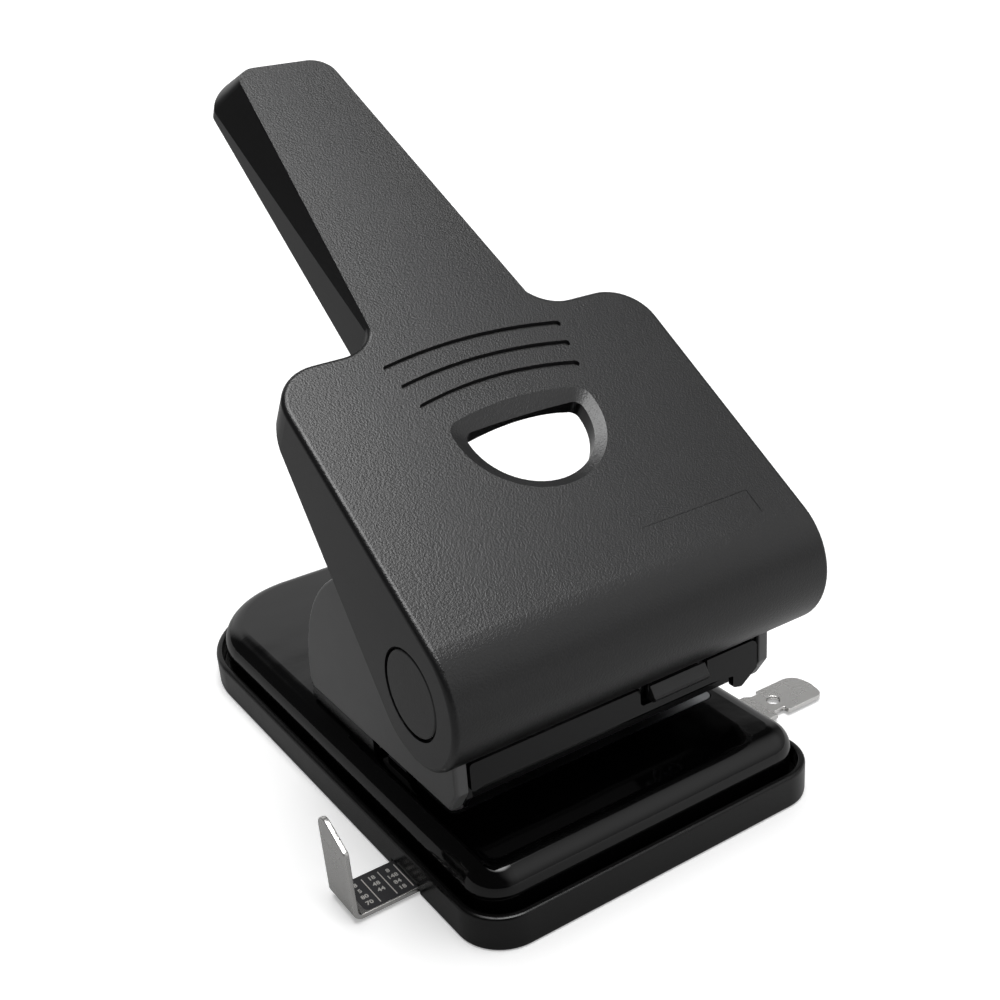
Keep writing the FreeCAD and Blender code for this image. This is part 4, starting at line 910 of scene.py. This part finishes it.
@dataclass
class PaperGuide:
    """Nickel strip with a printed scale: a black field, division lines and plain numbers. Millimetres."""

    left: float = -79.9
    right: float = -14.0
    front: float = -70.45
    rear: float = -55.9
    top: float = 2.4
    ink: float = 0.04
    first_line: float = -74.5
    pitch: float = 5.45
    lines: int = 11
    line_front: float = -69.4
    line_rear: float = -57.4
    line_width: float = 0.32
    corner: float = 1.6
    corner_steps: int = 6
    sunk: float = 0.02
    row_y: tuple[float, ...] = (-59.5, -62.5, -65.5, -68.5)
    text_size: float = 2.35
    ink_spread: float = 0.06
    edge_rounding: float = 0.3
    numbers: tuple[tuple[str, ...], ...] = (
        ("8", "5", "80", "70"), ("18", "48", "44", ""), ("8", "148", "84", "18"),
        ("21", "105", "", "60"), ("12", "", "210", "55"), ("6", "74", "", "45"),
    )

    def field(self, shop: Workshop) -> None:
        """Black printed field with a rounded corner at the bend.

        Args:
            shop: the workshop.
        """
        corners = [(self.right, self.front), (self.right, self.rear), (self.left, self.rear)]
        middle = (self.left + self.corner, self.front + self.corner)
        for step in range(self.corner_steps + 1):
            turn = math.pi + math.pi / 2 * step / self.corner_steps
            across = middle[0] + self.corner * math.cos(turn)
            along = middle[1] + self.corner * math.sin(turn)
            corners.append((across, along))
        form = bmesh.new()
        low = [form.verts.new((x * MM, y * MM, (self.top - self.sunk) * MM)) for x, y in corners]
        high = [form.verts.new((x * MM, y * MM, (self.top + self.ink) * MM)) for x, y in corners]
        form.faces.new(low)
        form.faces.new(high)
        for k in range(len(corners)):
            after = (k + 1) % len(corners)
            form.faces.new((low[k], low[after], high[after], high[k]))
        bmesh.ops.recalc_face_normals(form, faces=form.faces)
        mesh = bpy.data.meshes.new("scale_field")
        form.to_mesh(mesh)
        form.free()
        mesh.materials.append(shop.finish(FIELD_INK))
        shop.carry(stand("scale_field", mesh), Body.GUIDE)

    def divisions(self, shop: Workshop) -> None:
        """Printed lines across the strip, one at each step of the scale.

        Args:
            shop: the workshop.
        """
        form = FormTree("printed_bars", {"Count": 3.0, "Pitch": 0.005, "Width": 0.0003, "Length": 0.01,
                                         "Thickness": 0.0001, "Place X": 0.0, "Place Y": 0.0, "Place Z": 0.0})
        sheet = form.sheet
        start = sheet.add("ShaderNodeCombineXYZ", in_X=form.size("Place X"), in_Y=form.size("Place Y"),
                          in_Z=form.size("Place Z"))
        step = sheet.add("ShaderNodeCombineXYZ", in_X=form.size("Pitch"))
        row = sheet.add("GeometryNodeMeshLine", in_Count=form.size("Count"),
                        in_Start_Location=start.outputs[0], in_Offset=step.outputs[0])
        size = sheet.add("ShaderNodeCombineXYZ", in_X=form.size("Width"), in_Y=form.size("Length"),
                         in_Z=form.size("Thickness"))
        bar = sheet.add("GeometryNodeMeshCube", in_Size=size.outputs[0])
        placed = sheet.add("GeometryNodeInstanceOnPoints", in_Points=row.outputs[0],
                           in_Instance=bar.outputs[0])
        form.close(placed.outputs[0], shop.finish(WHITE_INK))
        bars = form.make("scale_lines", Count=self.lines, Pitch=self.pitch * MM, Width=self.line_width * MM,
                         Length=(self.line_rear - self.line_front) * MM, Thickness=self.ink * MM,
                         Place_X=self.first_line * MM, Place_Y=(self.line_rear + self.line_front) / 2 * MM,
                         Place_Z=(self.top + self.ink) * MM)
        shop.carry(bars, Body.GUIDE)

    def figures(self, shop: Workshop) -> None:
        """Small plain numbers in the cells between the lines.

        Args:
            shop: the workshop.
        """
        joined = bmesh.new()
        view = bpy.context.evaluated_depsgraph_get
        for cell in range(self.lines + 1):
            middle = self.first_line + (cell - 0.5) * self.pitch
            for row, text in zip(self.row_y, self.numbers[cell % len(self.numbers)]):
                if not text:
                    continue
                words = bpy.data.curves.new("figure", "FONT")
                words.body = text
                words.size = self.text_size * MM
                words.align_x = "CENTER"
                words.extrude = self.ink / 2 * MM
                words.offset = self.ink_spread * MM
                words.resolution_u = 2
                made = bpy.data.objects.new("figure", words)
                bpy.context.scene.collection.objects.link(made)
                mesh = bpy.data.meshes.new_from_object(made.evaluated_get(view()))
                bpy.data.objects.remove(made)
                spot = Vector((middle, row, self.top + self.ink)) * MM
                mesh.transform(Matrix.Translation(spot))
                joined.from_mesh(mesh)
                bpy.data.meshes.remove(mesh)
        mesh = bpy.data.meshes.new("scale_figures")
        joined.to_mesh(mesh)
        joined.free()
        face_outwards(mesh)
        mesh.materials.clear()
        mesh.materials.append(shop.finish(WHITE_INK))
        shop.carry(stand("scale_figures", mesh), Body.GUIDE)

    def build(self, shop: Workshop) -> None:
        """Dress the strip and print its scale."""
        shop.soften("paper_guide", Body.GUIDE, self.edge_rounding)
        self.field(shop)
        self.divisions(shop)
        self.figures(shop)


# Studio


@dataclass(frozen=True)
class SoftLight:
    """A round soft patch of the surround: bright inside the near edge, gone past the far one."""

    towards: Point
    strength: float
    far_edge: float
    near_edge: float
    ceiling: tuple[float, float] = (2.0, 3.0)

    def shine(self, sheet: Sheet, way: bpy.types.NodeSocket,
              rise: bpy.types.NodeSocket) -> bpy.types.NodeSocket:
        """Strength of the light in a direction.

        Args:
            sheet: the world's sheet.
            way: direction looked in.
            rise: that direction's height.

        Returns:
            The strength's socket.
        """
        facing = sheet.add("ShaderNodeVectorMath", operation="DOT_PRODUCT")
        sheet.feed(facing, 0, way)
        sheet.feed(facing, 1, Vector(self.towards).normalized())
        patch = sheet.span(facing.outputs["Value"], self.far_edge, self.near_edge, 0.0, self.strength,
                           smooth=True)
        below = sheet.span(rise, *self.ceiling, 1.0, 0.0, smooth=True)
        return sheet.maths("MULTIPLY", patch, below)


@dataclass
class Studio:
    """Pale floor, soft lights and the camera of the photograph. Metres."""

    eye: Point = (-0.203263, -0.359320, 0.265576)
    right: Point = (0.83196456, -0.55045003, -0.06956821)
    down: Point = (-0.27847292, -0.30582437, -0.91045279)
    ahead: Point = (0.47988311, 0.77683732, -0.40772046)
    lens: float = 49.517
    sensor: float = 36.0
    floor_size: float = 30.0
    floor_height: float = -0.0001
    paper: float = 0.92
    paper_glow: float = 0.34
    # painted shade: tones of the paper in gloss and bounce light, from the darker left to the lighter right
    paper_shaded_in_gloss: tuple[float, float] = (0.29, 0.58)
    paper_shade_span: tuple[float, float] = (-0.15, 0.15)
    surround: float = 0.04
    lights: tuple[SoftLight, ...] = (
        SoftLight((0.05, 0.03, 1.00), 7.6, 0.905, 0.985),
        SoftLight((0.47, -0.53, 0.71), 0.45, 0.68, 1.0),
        SoftLight((0.41, 0.87, 0.26), 0.52, 0.70, 0.90, (0.48, 0.58)),
        SoftLight((0.80, -0.60, 0.10), 0.28, 0.40, 0.85),
    )

    def build(self) -> None:
        """Make the floor, the light and the camera."""
        self.camera()
        self.floor()
        self.light()

    def camera(self) -> None:
        """Camera at the photograph's place and angle."""
        data = bpy.data.cameras.new("photo_camera")
        data.sensor_width = self.sensor
        data.lens = self.lens
        data.clip_start = 0.01
        data.clip_end = 100.0
        eye = bpy.data.objects.new("photo_camera", data)
        right, up, back = Vector(self.right), -Vector(self.down), -Vector(self.ahead)
        turn = Matrix((right, up, back)).transposed().to_4x4()
        eye.matrix_world = Matrix.Translation(Vector(self.eye)) @ turn
        bpy.context.scene.collection.objects.link(eye)
        bpy.context.scene.camera = eye

    def floor(self) -> None:
        """One pale plane that fills the view; in the object's gloss and bounce light it is dimmer, with
        painted shade darkening it towards the left.
        """
        half = self.floor_size / 2
        mesh = bpy.data.meshes.new("studio_floor")
        plan = ((-half, -half), (half, -half), (half, half), (-half, half))
        corners = [(x, y, self.floor_height) for x, y in plan]
        mesh.from_pydata(corners, [], [(0, 1, 2, 3)])
        plane = stand("studio_floor", mesh)
        made = bpy.data.materials.new("studio_paper")
        made.use_nodes = True
        sheet = Sheet(made.node_tree)
        out = sheet.add("ShaderNodeOutputMaterial")
        seen = sheet.add("ShaderNodeLightPath").outputs["Is Camera Ray"]
        spot = sheet.add("ShaderNodeTexCoord").outputs["Object"]
        place = sheet.add("ShaderNodeSeparateXYZ", in_Vector=spot)
        # painted shade: for all but camera rays the paper runs from darker at the left to lighter at the
        # right, standing in for the shadow cast on that side
        painted_paper_shade = sheet.span(place.outputs["X"], *self.paper_shade_span, *self.paper_shaded_in_gloss, smooth=True)
        tone = sheet.blend(seen, painted_paper_shade, (*[self.paper] * 3, 1.0))
        skin = sheet.add("ShaderNodeBsdfPrincipled", in_Base_Color=tone, in_Roughness=0.9,
                         in_Emission_Color=(1.0, 1.0, 1.0, 1.0))
        skin.inputs["Specular IOR Level"].default_value = 0.0
        sheet.feed(skin, "Emission Strength", sheet.maths("MULTIPLY", seen, self.paper_glow))
        sheet.feed(out, "Surface", skin.outputs[0])
        mesh.materials.append(made)

    def light(self) -> None:
        """Dim surround with the soft lights in it; the camera itself sees it white."""
        world = bpy.data.worlds.new("studio_surround")
        world.use_nodes = True
        sheet = Sheet(world.node_tree)
        out = sheet.add("ShaderNodeOutputWorld")
        way = sheet.add("ShaderNodeTexCoord").outputs["Generated"]
        rise = sheet.add("ShaderNodeSeparateXYZ", in_Vector=way).outputs["Z"]
        total: object = self.surround
        for light in self.lights:
            total = sheet.maths("ADD", total, light.shine(sheet, way, rise))
        seen = sheet.add("ShaderNodeLightPath").outputs["Is Camera Ray"]
        strength = sheet.add("ShaderNodeMix", data_type="FLOAT")
        sheet.feed(strength, 0, seen)
        sheet.feed(strength, 2, total)
        sheet.feed(strength, 3, 1.0)
        glow = sheet.add("ShaderNodeBackground", in_Color=(1.0, 1.0, 1.0, 1.0),
                         in_Strength=strength.outputs[0])
        sheet.feed(out, "Surface", glow.outputs[0])
        bpy.context.scene.world = world
        view = bpy.context.scene.view_settings
        view.view_transform = "Standard"
        view.look = "None"
        view.exposure = 0.0


def main() -> None:
    """Build the studio and every sub-assembly, in order."""
    shop = Workshop(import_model())
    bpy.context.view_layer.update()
    Studio().build()
    for assembly in (TrayAndBase(), SideFrame(), PunchGear(), HandLever(), PaperGuide()):
        assembly.build(shop)


if __name__ == "__main__":
    main()
